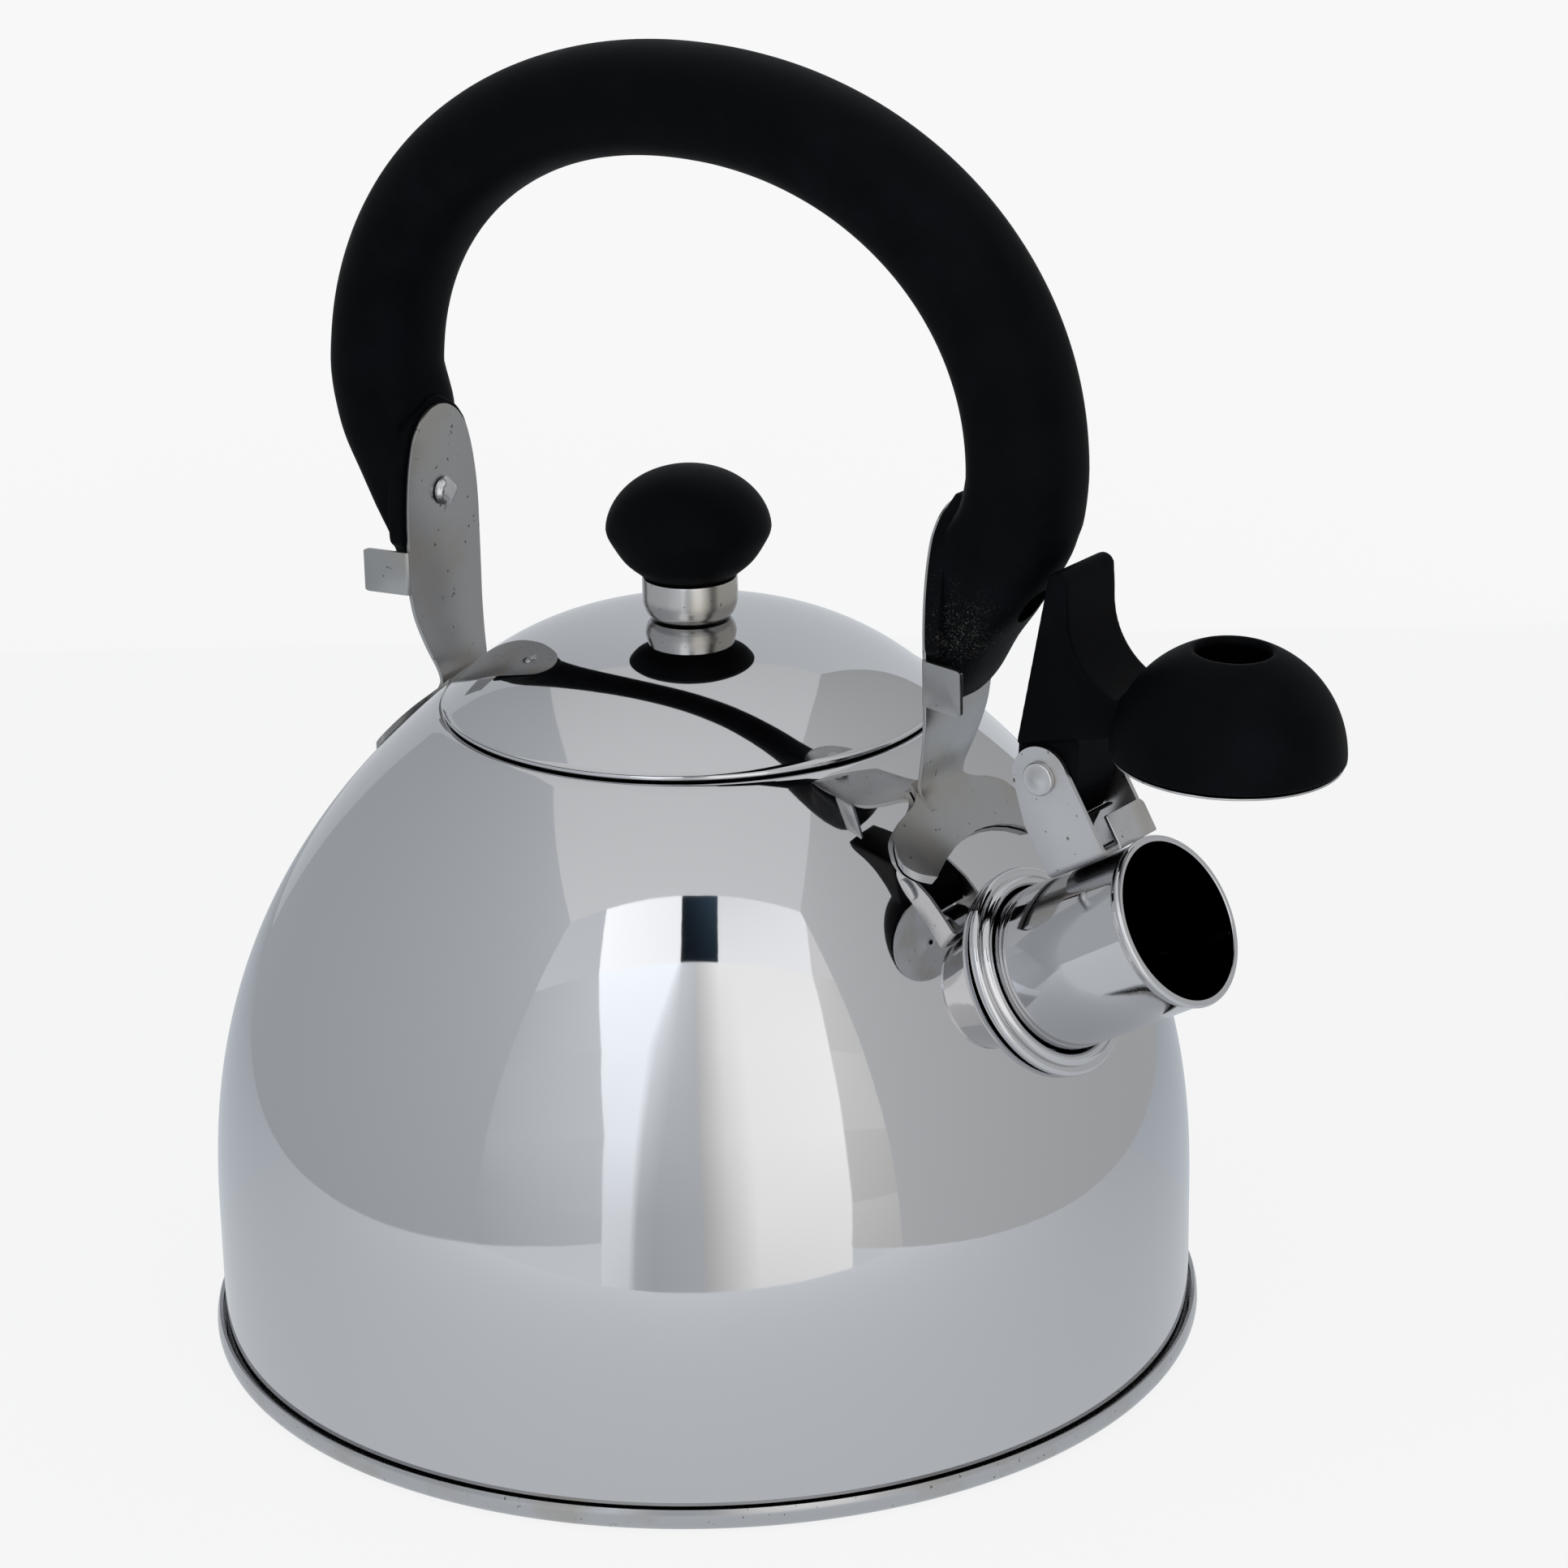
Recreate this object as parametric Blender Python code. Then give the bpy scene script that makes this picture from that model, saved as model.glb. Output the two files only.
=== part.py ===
"""Stovetop whistling kettle: sheet-steel body, folding bail handle, lift-out lid and a whistle on a lever.

Run with: blender --background --python part.py. Every length below is in millimetres and every
angle in degrees; meshes are made in metres. The kettle's axis is Z, its underside is at Z = 0,
and +X points to the spout.
"""

import math

import bmesh
import bpy
from mathutils import Matrix, Vector

MM = 0.001
GAP = 0.3  # air left between pieces that touch on the real kettle
SHEET = 0.6  # drawn body and lid sheet
PLATE = 1.0  # pressed bracket plate

# Body of revolution: a straight wall, then a dome that follows a superellipse.
BODY_RADIUS = 94.0
WALL_TOP = 26.2
DOME_APEX = 148.5
DOME_SIDE_POWER = 1.326
DOME_RISE_POWER = 2.316
LEDGE_HEIGHT = 123.55
NECK_RADIUS = 44.3
NECK_BOTTOM = 119.5
BODY_BOTTOM = 1.0

# Base pan with its rolled rim.
RIM_RADIUS = 95.8
RIM_HEIGHT = 4.4
PAN_SHEET = 0.7

# Lid, its skirt and its knob.
LID_RADIUS = 47.15
LID_RIM_HEIGHT = 124.45
LID_RISE = 15.6
LID_POWER = 2.8
SKIRT_RADIUS = 43.7
SKIRT_BOTTOM = 113.5
SKIRT_FLANGE_RADIUS = 36.0
FERRULE_TOP = 148.0
FERRULE_RADIUS = 8.9
FERRULE_FOOT_RADIUS = 7.6
KNOB_RADIUS = 15.4
KNOB_WAIST = 157.2
KNOB_TOP = 168.8
SCREW_RADIUS = 2.0

# Spout: a straight tube that stands square on the dome.
SPOUT_TILT = 30.0
MOUTH = Vector((107.1, 0.0, 102.4))
TUBE_RADIUS = 15.4
TUBE_BORE = 14.6
LIP_RADIUS = 15.95
COLLAR_RADIUS = 19.7

# Lever hinge on the spout, in spout coordinates: X along the tube from the mouth, Z square to it.
PIVOT_BACK = -8.8
PIVOT_UP = 33.0
EAR_OUTER = 8.15
EAR_THICK = 0.9
EAR_END_RADIUS = 5.8
EAR_BACK = -16.3
EAR_FRONT = -3.0
HINGE_PLATE_LOW = TUBE_RADIUS + GAP
STOP_TAB_TOP = 22.2
LEVER_RIVET_RADIUS = 1.6
LEVER_RIVET_HEAD = 3.1

# Whistle lever, in its own coordinates: origin on the hinge, Z along the whistle's axis.
LEVER_TILT = 2.5  # lean of the open whistle from the vertical
LEVER_HALF_WIDTH = 8.2
CAP_CENTRE = 33.0
CAP_FACE = 9.12
CAP_RADIUS = 20.6
CAP_WALL = 1.8
CAP_HOLE_RADIUS = 6.5
BOSS_RADIUS = 6.6
BOSS_FLAT = -8.4

# Bail handle and the two brackets that carry it.
PIVOT_HEIGHT = 155.0
BRACKET_X = 59.6
BRACKET_PLATE = 0.8
BRACKET_HALF_WIDTH = 10.4
BRACKET_STRAIGHT = 136.0
BRACKET_TOP = [(10.4, 150.0), (10.2, 154.0), (9.75, 158.0), (9.05, 162.0), (7.9, 166.0), (6.8, 168.0),
               (5.0, 170.1), (2.6, 171.6), (0.0, 172.1)]  # half width and height up the rounded end
NECK_X = 55.9
NECK_HALF_WIDTH = 6.8
SADDLE_CLEARANCE = 28.5
TAB_LOW = 136.5
TAB_HIGH = 145.0
TAB_LENGTH = 10.0
TAB_SPLAY = 10.8  # the stop tab is bent this far short of square
TAB_CORNER = 1.2
PAD_X = BRACKET_X + BRACKET_PLATE + GAP
PAD_THICK = 3.2
PAD_MARGIN = 1.15  # the handle's pads stand this far outside the plates
BAIL_MIDDLE = 1.4
BAIL_HALF_SPAN = 73.6
BAIL_LEAN = 1.6
BAIL_SPRING_HEIGHT = 178.0
BAIL_RISE = 59.2
BAIL_POWER = 2.08
GRIP_RADIAL = 10.3
GRIP_SIDE = 10.9
HANDLE_RIVET_RADIUS = 2.0
POCKET_RADIUS = 3.3
POCKET_FLOOR = 71.4
RIVET_END_RADIUS = 2.7
WASHER_RADIUS = 3.0

FINE = 40
MEDIUM = 32
SMALL = 16


def dome_radius(height):
    """Outer radius of the body at this height."""
    if height <= WALL_TOP:
        return BODY_RADIUS
    rise = (height - WALL_TOP) / (DOME_APEX - WALL_TOP)
    angle = math.asin(rise ** (DOME_RISE_POWER / 2))
    return BODY_RADIUS * math.cos(angle) ** (2 / DOME_SIDE_POWER)


def spout_root():
    """Distance from the mouth back along the tube's axis to the body's outer face."""
    tilt = math.radians(SPOUT_TILT)
    near, far = 10.0, 50.0
    for _ in range(40):
        middle = (near + far) / 2
        radius = MOUTH.x - middle * math.cos(tilt)
        outside = radius > dome_radius(MOUTH.z - middle * math.sin(tilt))
        near, far = (middle, far) if outside else (near, middle)
    return near


def lid_height(radius):
    """Height of the lid's upper face at this radius."""
    return LID_RIM_HEIGHT + LID_RISE * (1 - (radius / LID_RADIUS) ** LID_POWER)


def arc(centre, radius, start, end, steps):
    """Points on a circular arc, angles in degrees from the first axis towards the second."""
    angles = (math.radians(start + (end - start) * i / steps) for i in range(steps + 1))
    return [(centre[0] + radius * math.cos(a), centre[1] + radius * math.sin(a)) for a in angles]


def beside(path, distance):
    """The path moved to the left of its direction by this distance, with mitred corners."""
    points = [Vector(point) for point in path]
    ways = [(b - a).normalized() for a, b in zip(points, points[1:])]
    lefts = [Vector((-way.y, way.x)) for way in ways]
    moved = []
    for index, point in enumerate(points):
        before = lefts[max(index - 1, 0)]
        after = lefts[min(index, len(lefts) - 1)]
        middle = (before + after).normalized()
        moved.append(tuple(point + middle * distance / max(middle.dot(after), 0.5)))
    return moved


def sheet(path, thickness):
    """Closed outline of a sheet whose outer face is the path and whose metal lies to its left."""
    return list(path) + beside(path, thickness)[::-1]


def turned(outline, steps, along="Z"):
    """Solid of revolution from (radius, distance along the axis) points."""
    place = {
        "Z": lambda radius, height: (radius, 0, height),
        "X": lambda radius, height: (height, 0, radius),
    }[along]
    shape = bmesh.new()
    corners = [shape.verts.new(Vector(place(*point)) * MM) for point in outline]
    edges = [shape.edges.new(pair) for pair in zip(corners, corners[1:] + corners[:1])]
    axis = (0, 0, 1) if along == "Z" else (1, 0, 0)
    bmesh.ops.spin(
        shape, geom=corners + edges, cent=(0, 0, 0), axis=axis, angle=math.tau, steps=steps, use_merge=True
    )
    return closed(shape)


def prism(outline, low, high, along):
    """Solid with this outline from low to high along X, Y or Z; the outline lists the other two."""
    place = {
        "X": lambda u, v, w: (w, u, v),
        "Y": lambda u, v, w: (u, w, v),
        "Z": lambda u, v, w: (u, v, w),
    }[along]
    rings = [[Vector(place(u, v, end)) for u, v in outline] for end in (low, high)]
    return lofted(rings)


def lofted(rings):
    """Solid through rings of points, with its two ends filled."""
    shape = bmesh.new()
    loops = [[shape.verts.new(point * MM) for point in ring] for ring in rings]
    for near, far in zip(loops, loops[1:]):
        for i in range(len(near)):
            j = (i + 1) % len(near)
            shape.faces.new((near[i], near[j], far[j], far[i]))
    shape.faces.new(loops[0][::-1])
    shape.faces.new(loops[-1])
    return closed(shape)


def closed(shape):
    """Points on the axis made one, and every face turned outwards."""
    bmesh.ops.remove_doubles(shape, verts=shape.verts, dist=1e-7)
    bmesh.ops.dissolve_degenerate(shape, edges=shape.edges, dist=1e-8)
    bmesh.ops.recalc_face_normals(shape, faces=shape.faces)
    return shape


def finish(name, colour, roughness, metallic):
    """A Principled material."""
    made = bpy.data.materials.new(name)
    made.use_nodes = True
    shader = made.node_tree.nodes["Principled BSDF"]
    shader.inputs["Base Color"].default_value = (*colour, 1)
    shader.inputs["Roughness"].default_value = roughness
    shader.inputs["Metallic"].default_value = metallic
    return made


def piece(name, shape, material, parent=None, bevel=0.0, smooth=35):
    """One named object from a bmesh, in its parent's coordinates."""
    mesh = bpy.data.meshes.new(name)
    shape.to_mesh(mesh)
    shape.free()
    mesh.shade_smooth()
    mesh.set_sharp_from_angle(angle=math.radians(smooth))
    mesh.materials.append(material)
    made = bpy.data.objects.new(name, mesh)
    made.parent = parent
    bpy.context.scene.collection.objects.link(made)
    if bevel:
        edge = made.modifiers.new("Eased edges", "BEVEL")
        edge.width = bevel * MM
        edge.segments = 2
        edge.limit_method = "ANGLE"
        edge.angle_limit = math.radians(40)
    return made


def helper(name, shape, parent=None):
    """A hidden shape that only cuts or joins."""
    mesh = bpy.data.meshes.new(name)
    shape.to_mesh(mesh)
    shape.free()
    made = bpy.data.objects.new(name, mesh)
    made.parent = parent
    made.hide_render = True
    made.display_type = "WIRE"
    bpy.context.scene.collection.objects.link(made)
    return made


def combine(target, other, operation):
    """Adds a live Boolean: DIFFERENCE, UNION or INTERSECT."""
    step = target.modifiers.new(f"{operation.title()} {other.name}", "BOOLEAN")
    step.operation = operation
    step.object = other
    step.solver = "EXACT"


def frame(name, place, turn_about_y=0.0, parent=None):
    """An empty that carries a group of pieces: its origin is where they turn or are measured from."""
    made = bpy.data.objects.new(name, None)
    made.location = Vector(place) * MM
    made.rotation_euler = (0, math.radians(turn_about_y), 0)
    made.parent = parent
    bpy.context.scene.collection.objects.link(made)
    return made


def rod(radius, low, high, steps=SMALL, along="Z"):
    """A plain round bar."""
    return turned([(0, low), (radius, low), (radius, high), (0, high)], steps, along)


def round_bar_x(radius, low, high, centre, steps=SMALL):
    """A round bar along X about a centre given as (y, z)."""
    return prism(arc(centre, radius, 0, 360 - 360 / steps, steps - 1), low, high, "X")


def round_bar_y(radius, low, high, centre, steps=SMALL):
    """A round bar along Y about a centre given as (x, z)."""
    return prism(arc(centre, radius, 0, 360 - 360 / steps, steps - 1), low, high, "Y")


# ---- Body -------------------------------------------------------------------------------------


def dome_path(low, high, steps):
    """The body's outer face between two heights, as (radius, height), going up."""
    heights = (low + (high - low) * i / steps for i in range(steps + 1))
    return [(dome_radius(height), height) for height in heights]


def body_shell(steel, spout):
    """Drawn shell with its ledge and turned-down neck, open below, and holed for the spout."""
    ledge_start = LEDGE_HEIGHT - 0.35
    path = [(BODY_RADIUS, BODY_BOTTOM)]
    path += dome_path(WALL_TOP, ledge_start, 13)
    path += [(47.6, LEDGE_HEIGHT), (45.3, LEDGE_HEIGHT + 0.05)]
    path += [(NECK_RADIUS + 0.2, LEDGE_HEIGHT - 0.3), (NECK_RADIUS, LEDGE_HEIGHT - 1.0)]
    path += [(NECK_RADIUS, NECK_BOTTOM)]
    made = piece("body_shell", turned(sheet(path, SHEET), FINE), steel)
    hole = rod(TUBE_RADIUS + 2 * GAP, -spout_root() - 8, -spout_root() + 8, MEDIUM, "X")
    combine(made, helper("spout_hole", hole, spout), "DIFFERENCE")


def base_pan(steel):
    """Flat pan whose edge is rolled up round the foot of the body."""
    corner = arc((RIM_RADIUS - 2.2, 2.2), 2.2, -90, 0, 5)
    path = [(0, 0)] + corner + [(RIM_RADIUS - 0.1, 3.5), (RIM_RADIUS - 0.5, RIM_HEIGHT)]
    piece("base_pan", turned(sheet(path, PAN_SHEET), FINE), steel)


# ---- Spout ------------------------------------------------------------------------------------


def spout_tube(steel, spout):
    """Tube with a rolled lip at the mouth and a small flare inside the body."""
    back = -spout_root() - 4.5
    outline = [(TUBE_BORE, back + 0.4), (TUBE_RADIUS, back), (TUBE_RADIUS, -2.2)]
    outline += arc((LIP_RADIUS - 0.75, -0.8), 0.75, -50, 90, 5)
    outline += [(TUBE_BORE, -0.4)]
    piece("spout_tube", turned(outline, MEDIUM, "X"), steel, spout)


def spout_collar(steel, spout):
    """Two-bead ring that seams the tube to the dome; its underside follows the dome."""
    root = -spout_root()
    under = [(radius, root - radius**2 / 204 + 0.9) for radius in (15.8, 17.4, 19.0)]
    outer_bead = arc((COLLAR_RADIUS - 1.0, root - 0.6), 1.0, -60, 125, 6)
    inner_bead = arc((16.75, root + 1.1), 0.95, -20, 170, 6)
    outline = under + outer_bead + inner_bead
    piece("spout_collar", turned(outline, MEDIUM, "X"), steel, spout)


def ear_outline():
    """Side view of a hinge ear: straight foot, tapering back edge, round end about the pivot."""
    end = arc((PIVOT_BACK, PIVOT_UP), EAR_END_RADIUS, -10, 175, 9)
    return [(EAR_BACK, HINGE_PLATE_LOW), (EAR_FRONT, HINGE_PLATE_LOW)] + end + [(EAR_BACK, 26.5)]


def lever_bracket(steel, spout):
    """U-shaped hinge bracket: two ears, the plate between them and the stop tab at its front."""
    inner = EAR_OUTER - EAR_THICK
    made = piece("lever_bracket", prism(ear_outline(), -EAR_OUTER, -inner, "Y"), steel, spout)
    far_ear = prism(ear_outline(), inner, EAR_OUTER, "Y")
    plate_top = HINGE_PLATE_LOW + EAR_THICK
    plate = [(-EAR_OUTER + 0.05, HINGE_PLATE_LOW + 0.02), (EAR_OUTER - 0.05, HINGE_PLATE_LOW + 0.02)]
    plate += [(EAR_OUTER - 0.05, plate_top), (-EAR_OUTER + 0.05, plate_top)]
    floor = prism(plate, EAR_BACK + 0.02, EAR_FRONT - 0.02, "X")
    tab = [(-3.7, HINGE_PLATE_LOW + 0.04), (EAR_OUTER - 0.1, HINGE_PLATE_LOW + 0.04)]
    tab += [(EAR_OUTER - 0.1, STOP_TAB_TOP - 1)]
    tab += [(EAR_OUTER - 1.1, STOP_TAB_TOP), (-3.7, STOP_TAB_TOP)]
    stop = prism(tab, EAR_FRONT - 0.1, EAR_FRONT - 0.1 + EAR_THICK, "X")
    for name, shape in (("far_ear", far_ear), ("hinge_floor", floor), ("stop_tab", stop)):
        combine(made, helper(name, shape, spout), "UNION")
    bore = round_bar_y(LEVER_RIVET_RADIUS + GAP, -12, 12, (PIVOT_BACK, PIVOT_UP))
    combine(made, helper("ear_bore", bore, spout), "DIFFERENCE")


def detent_spring(steel, spout):
    """Leaf spring: flat on the hinge plate at the back, bowed up under the lever's boss."""
    flat = HINGE_PLATE_LOW + EAR_THICK + GAP
    path = [(-5.6, 23.6), (-6.6, 23.9), (-8.8, 23.5), (-11.6, 21.6), (-13.6, 19.2), (-14.6, 17.6)]
    path += [(-14.6, flat + 0.3), (-14.3, flat), (-8.0, flat)]
    outline = list(path) + beside(path, 0.4)[::-1]
    piece("detent_spring", prism(outline, -4.0, 4.0, "Y"), steel, spout)


def lever_rivet(steel, spout):
    """Headed rivet through both ears, upset at its far end."""
    near = EAR_OUTER + GAP
    outline = [(0, -near - 1.1)] + arc((LEVER_RIVET_HEAD - 0.7, -near - 0.6), 0.6, -60, 0, 3)
    outline += [(LEVER_RIVET_HEAD, -near), (LEVER_RIVET_RADIUS, -near)]
    outline += [(LEVER_RIVET_RADIUS, near), (2.5, near), (2.3, near + 0.8), (0, near + 1.0)]
    shape = turned(outline, SMALL, "Z")
    turn = Matrix.Rotation(math.radians(-90), 3, "X")
    bmesh.ops.rotate(shape, verts=shape.verts, cent=(0, 0, 0), matrix=turn)
    move = Vector((PIVOT_BACK, 0, PIVOT_UP)) * MM
    bmesh.ops.translate(shape, verts=shape.verts, vec=move)
    piece("lever_rivet", shape, steel, spout)


# ---- Whistle ----------------------------------------------------------------------------------


def cap_dome(radius, base, top_hole, steps):
    """Dome outline from its rim at the base up to a hole round the axis."""
    top = math.degrees(math.acos(top_hole / radius))
    return arc((0, base), radius, 0, top, steps)


def cap_solid():
    """The whistle's domed cap, hollow and open at both ends."""
    rim = CAP_FACE + 0.85
    outer = cap_dome(CAP_RADIUS, rim, CAP_HOLE_RADIUS, 9)
    inner = cap_dome(CAP_RADIUS - CAP_WALL, rim, CAP_HOLE_RADIUS, 8)
    return move_to_cap(turned(outer + inner[::-1], MEDIUM))


def move_to_cap(shape):
    """Moves a shape made on the Z axis to the cap's axis."""
    bmesh.ops.translate(shape, verts=shape.verts, vec=(CAP_CENTRE * MM, 0, 0))
    return shape


def lever_outline():
    """Side view of the thumb lever: straight back, rounded top, hollow front running into the cap."""
    front = arc((18.3, 31.2), 14.2, 256, 182, 7)
    top = arc((1.6, 36.2), 2.1, 10, 150, 4)
    return [(-5.5, 4.9), (0.0, 6.8), (9.3, 9.3), (13.5, 10.4)] + front + top


def whistle_lever(moulding, hinge):
    """Lever and cap in one moulding, with a boss between the ears."""
    web = prism(lever_outline(), -LEVER_HALF_WIDTH, LEVER_HALF_WIDTH, "Y")
    made = piece("whistle_lever", web, moulding, hinge, bevel=0.8)
    boss = [(-5.5, 6.0)] + arc((0, 0), BOSS_RADIUS, 200, 240, 2)
    boss += [(-2.4, BOSS_FLAT), (4.4, BOSS_FLAT)] + arc((0, 0), BOSS_RADIUS, 325, 350, 2)
    boss += [(6.6, 9.4), (0, 8.6)]
    half = EAR_OUTER - EAR_THICK - GAP
    combine(made, helper("lever_boss", prism(boss, -half, half, "Y"), hinge), "UNION")
    hollow = [(0, 0)] + cap_dome(CAP_RADIUS - 0.9, CAP_FACE + 0.8, 0.01, 9)
    combine(made, helper("cap_hollow", move_to_cap(turned(hollow, MEDIUM)), hinge), "DIFFERENCE")
    combine(made, helper("cap_shell", cap_solid(), hinge), "UNION")
    bore = round_bar_y(LEVER_RIVET_RADIUS + GAP, -12, 12, (0, 0))
    combine(made, helper("boss_bore", bore, hinge), "DIFFERENCE")


def whistle_discs(steel, hinge):
    """The two holed plates that make the sound: the outer one also closes the cap's underside."""
    face = [(1.3, CAP_FACE), (CAP_RADIUS - 0.7, CAP_FACE), (CAP_RADIUS - 0.5, CAP_FACE + 0.25)]
    face += [(CAP_RADIUS - 0.7, CAP_FACE + 0.5), (18.3, CAP_FACE + 0.5)]
    face += [(18.1, CAP_FACE + 3.2), (17.6, CAP_FACE + 3.2), (17.6, CAP_FACE + 0.5)]
    face += [(1.3, CAP_FACE + 0.5)]
    piece("whistle_lower_disc", move_to_cap(turned(face, MEDIUM)), steel, hinge)
    high = CAP_FACE + 3.6
    plate = [(1.3, high), (17.7, high), (17.7, high + 0.5), (1.3, high + 0.5)]
    piece("whistle_upper_disc", move_to_cap(turned(plate, MEDIUM)), steel, hinge)


# ---- Lid --------------------------------------------------------------------------------------


def lid_path(outer, inner, steps, drop=0.0):
    """The lid's upper face going inwards, or a line this far below it."""
    radii = (outer + (inner - outer) * i / steps for i in range(steps + 1))
    return [(radius, lid_height(radius) - drop) for radius in radii]


def lid_shell(steel, lid):
    """Shallow domed cap with a turned rim, holed for the knob's screw."""
    path = lid_path(LID_RADIUS, SCREW_RADIUS + GAP, 9)
    piece("lid_shell", turned(sheet(path, SHEET), FINE), steel, lid)


def lid_skirt(steel, lid):
    """Plug ring that drops into the neck, with a flange that follows the lid's underside."""
    under = beside(lid_path(SKIRT_RADIUS - 0.3, SKIRT_FLANGE_RADIUS, 2), SHEET + GAP + 0.1)
    path = [(SKIRT_RADIUS, SKIRT_BOTTOM), (SKIRT_RADIUS, under[0][1] - 0.7)] + under
    piece("lid_skirt_ring", turned(sheet(path, SHEET), FINE), steel, lid)


def lid_knob(moulding, steel, lid):
    """Mushroom knob on a cup-shaped ferrule, held from below by a screw and its washer."""
    top = [(0, KNOB_TOP)]
    for step in range(1, 9):
        angle = math.radians(90 - step * 10)
        radius = KNOB_RADIUS * math.cos(angle) ** 0.95
        top.append((radius, KNOB_WAIST + (KNOB_TOP - KNOB_WAIST) * math.sin(angle) ** 1.1))
    waist = [(KNOB_RADIUS, KNOB_WAIST), (KNOB_RADIUS - 0.5, KNOB_WAIST - 1.6)]
    foot = [(12.2, 151.4), (9.6, 149.0), (8.4, FERRULE_TOP + GAP)]
    bore = SCREW_RADIUS + GAP
    hole = [(bore, FERRULE_TOP + GAP), (bore, 161.0), (0, 161.0)]
    piece("lid_knob", turned(top + waist + foot + hole, MEDIUM), moulding, lid)

    low = lid_height(0) + GAP
    side = [(FERRULE_FOOT_RADIUS, low), (8.15, low + 0.8), (8.6, low + 1.9), (FERRULE_RADIUS, low + 3.4)]
    side += [(FERRULE_RADIUS, FERRULE_TOP)]
    ring = side + [(bore + 0.1, FERRULE_TOP), (bore + 0.1, low)]
    piece("knob_ferrule", turned(ring, MEDIUM), steel, lid)

    under = lid_height(0) - SHEET - GAP
    washer = [(bore, under), (5.6, under), (5.6, under - 0.8), (bore, under - 0.8)]
    piece("knob_screw_washer", turned(washer, SMALL), steel, lid)
    head = under - 0.8 - GAP
    screw = [(0, 160.4), (1.2, 160.4), (SCREW_RADIUS, 159.6), (SCREW_RADIUS, head)]
    screw += [(4.0, head), (4.0, head - 1.2), (3.0, head - 2.3), (0, head - 2.6)]
    piece("knob_screw", turned(screw, SMALL), steel, lid)


# ---- Handle -----------------------------------------------------------------------------------


def strip_ring(x, z, lean, half_width, thickness):
    """Cross-section of a bracket strip: lean is the angle of its face from the vertical."""
    across = Vector((math.cos(math.radians(lean)), 0, math.sin(math.radians(lean)))) * thickness / 2
    centre = Vector((x, 0, z))
    side = Vector((0, half_width, 0))
    return [centre - side - across, centre + side - across, centre + side + across, centre - side + across]


def saddle_outline():
    """Plan of the bracket's foot from its neck to its two lobes, the spout's side left open."""
    half = [(54.4, NECK_HALF_WIDTH), (56.0, 7.6), (57.0, 10.0), (57.4, 13.6), (58.3, 17.6)]
    half += [(60.0, 19.5), (62.2, 19.5), (64.2, 17.6), (66.5, 13.5), (69.0, 8.0)]
    return half + [(x, -y) for x, y in half[::-1]]


def saddle_foot(spout):
    """Foot that lies on the dome, cut by its plan and by a circle about the spout."""
    outer = beside(dome_path(100, 122, 10), -GAP)
    layer = sheet(beside(outer, -PLATE), PLATE)
    turn = 27
    rings = []
    for step in range(-9, 10):
        angle = math.radians(turn * step / 9)
        rings.append([Vector((r * math.cos(angle), r * math.sin(angle), z)) for r, z in layer])
    foot = helper("front_saddle", lofted(rings))
    combine(foot, helper("saddle_plan", prism(saddle_outline(), 90, 130, "Z")), "INTERSECT")
    ring = rod(SADDLE_CLEARANCE, -60, 20, MEDIUM, "X")
    combine(foot, helper("saddle_scoop", ring, spout), "DIFFERENCE")
    return foot


def mirrored(half):
    """Closed outline from one half of it, given as distances from the mirror line and heights."""
    return half + [(-across, up) for across, up in half[::-1] if across > 0]


def stop_tab():
    """Tab bent out from the plate's near edge, with its two free corners rounded."""
    edge = -BRACKET_HALF_WIDTH
    turn = math.radians(TAB_SPLAY)
    along, across = Vector((math.cos(turn), -math.sin(turn))), Vector((-math.sin(turn), -math.cos(turn)))
    root = Vector((BRACKET_X + BRACKET_PLATE, edge))
    far = root + along * (TAB_LENGTH - BRACKET_PLATE)
    outline = [root, far, far + across * BRACKET_PLATE, Vector((BRACKET_X + 0.7, edge - BRACKET_PLATE))]
    outline += [Vector((BRACKET_X + 0.1, edge - 0.2)), Vector((BRACKET_X + 0.1, edge + 0.6))]
    outline += [Vector((BRACKET_X + BRACKET_PLATE, edge + 0.6))]
    tab = helper("stop_tab_blank", prism(outline, TAB_LOW, TAB_HIGH, "Z"))
    end, round_ = BRACKET_X + TAB_LENGTH, TAB_CORNER
    face = arc((end - round_, TAB_LOW + round_), round_, -90, 0, 4)
    face += arc((end - round_, TAB_HIGH - round_), round_, 0, 90, 4)
    face += [(BRACKET_X - 1, TAB_HIGH), (BRACKET_X - 1, TAB_LOW)]
    combine(tab, helper("stop_tab_face", prism(face, -20, 0, "Y")), "INTERSECT")
    return tab


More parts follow.
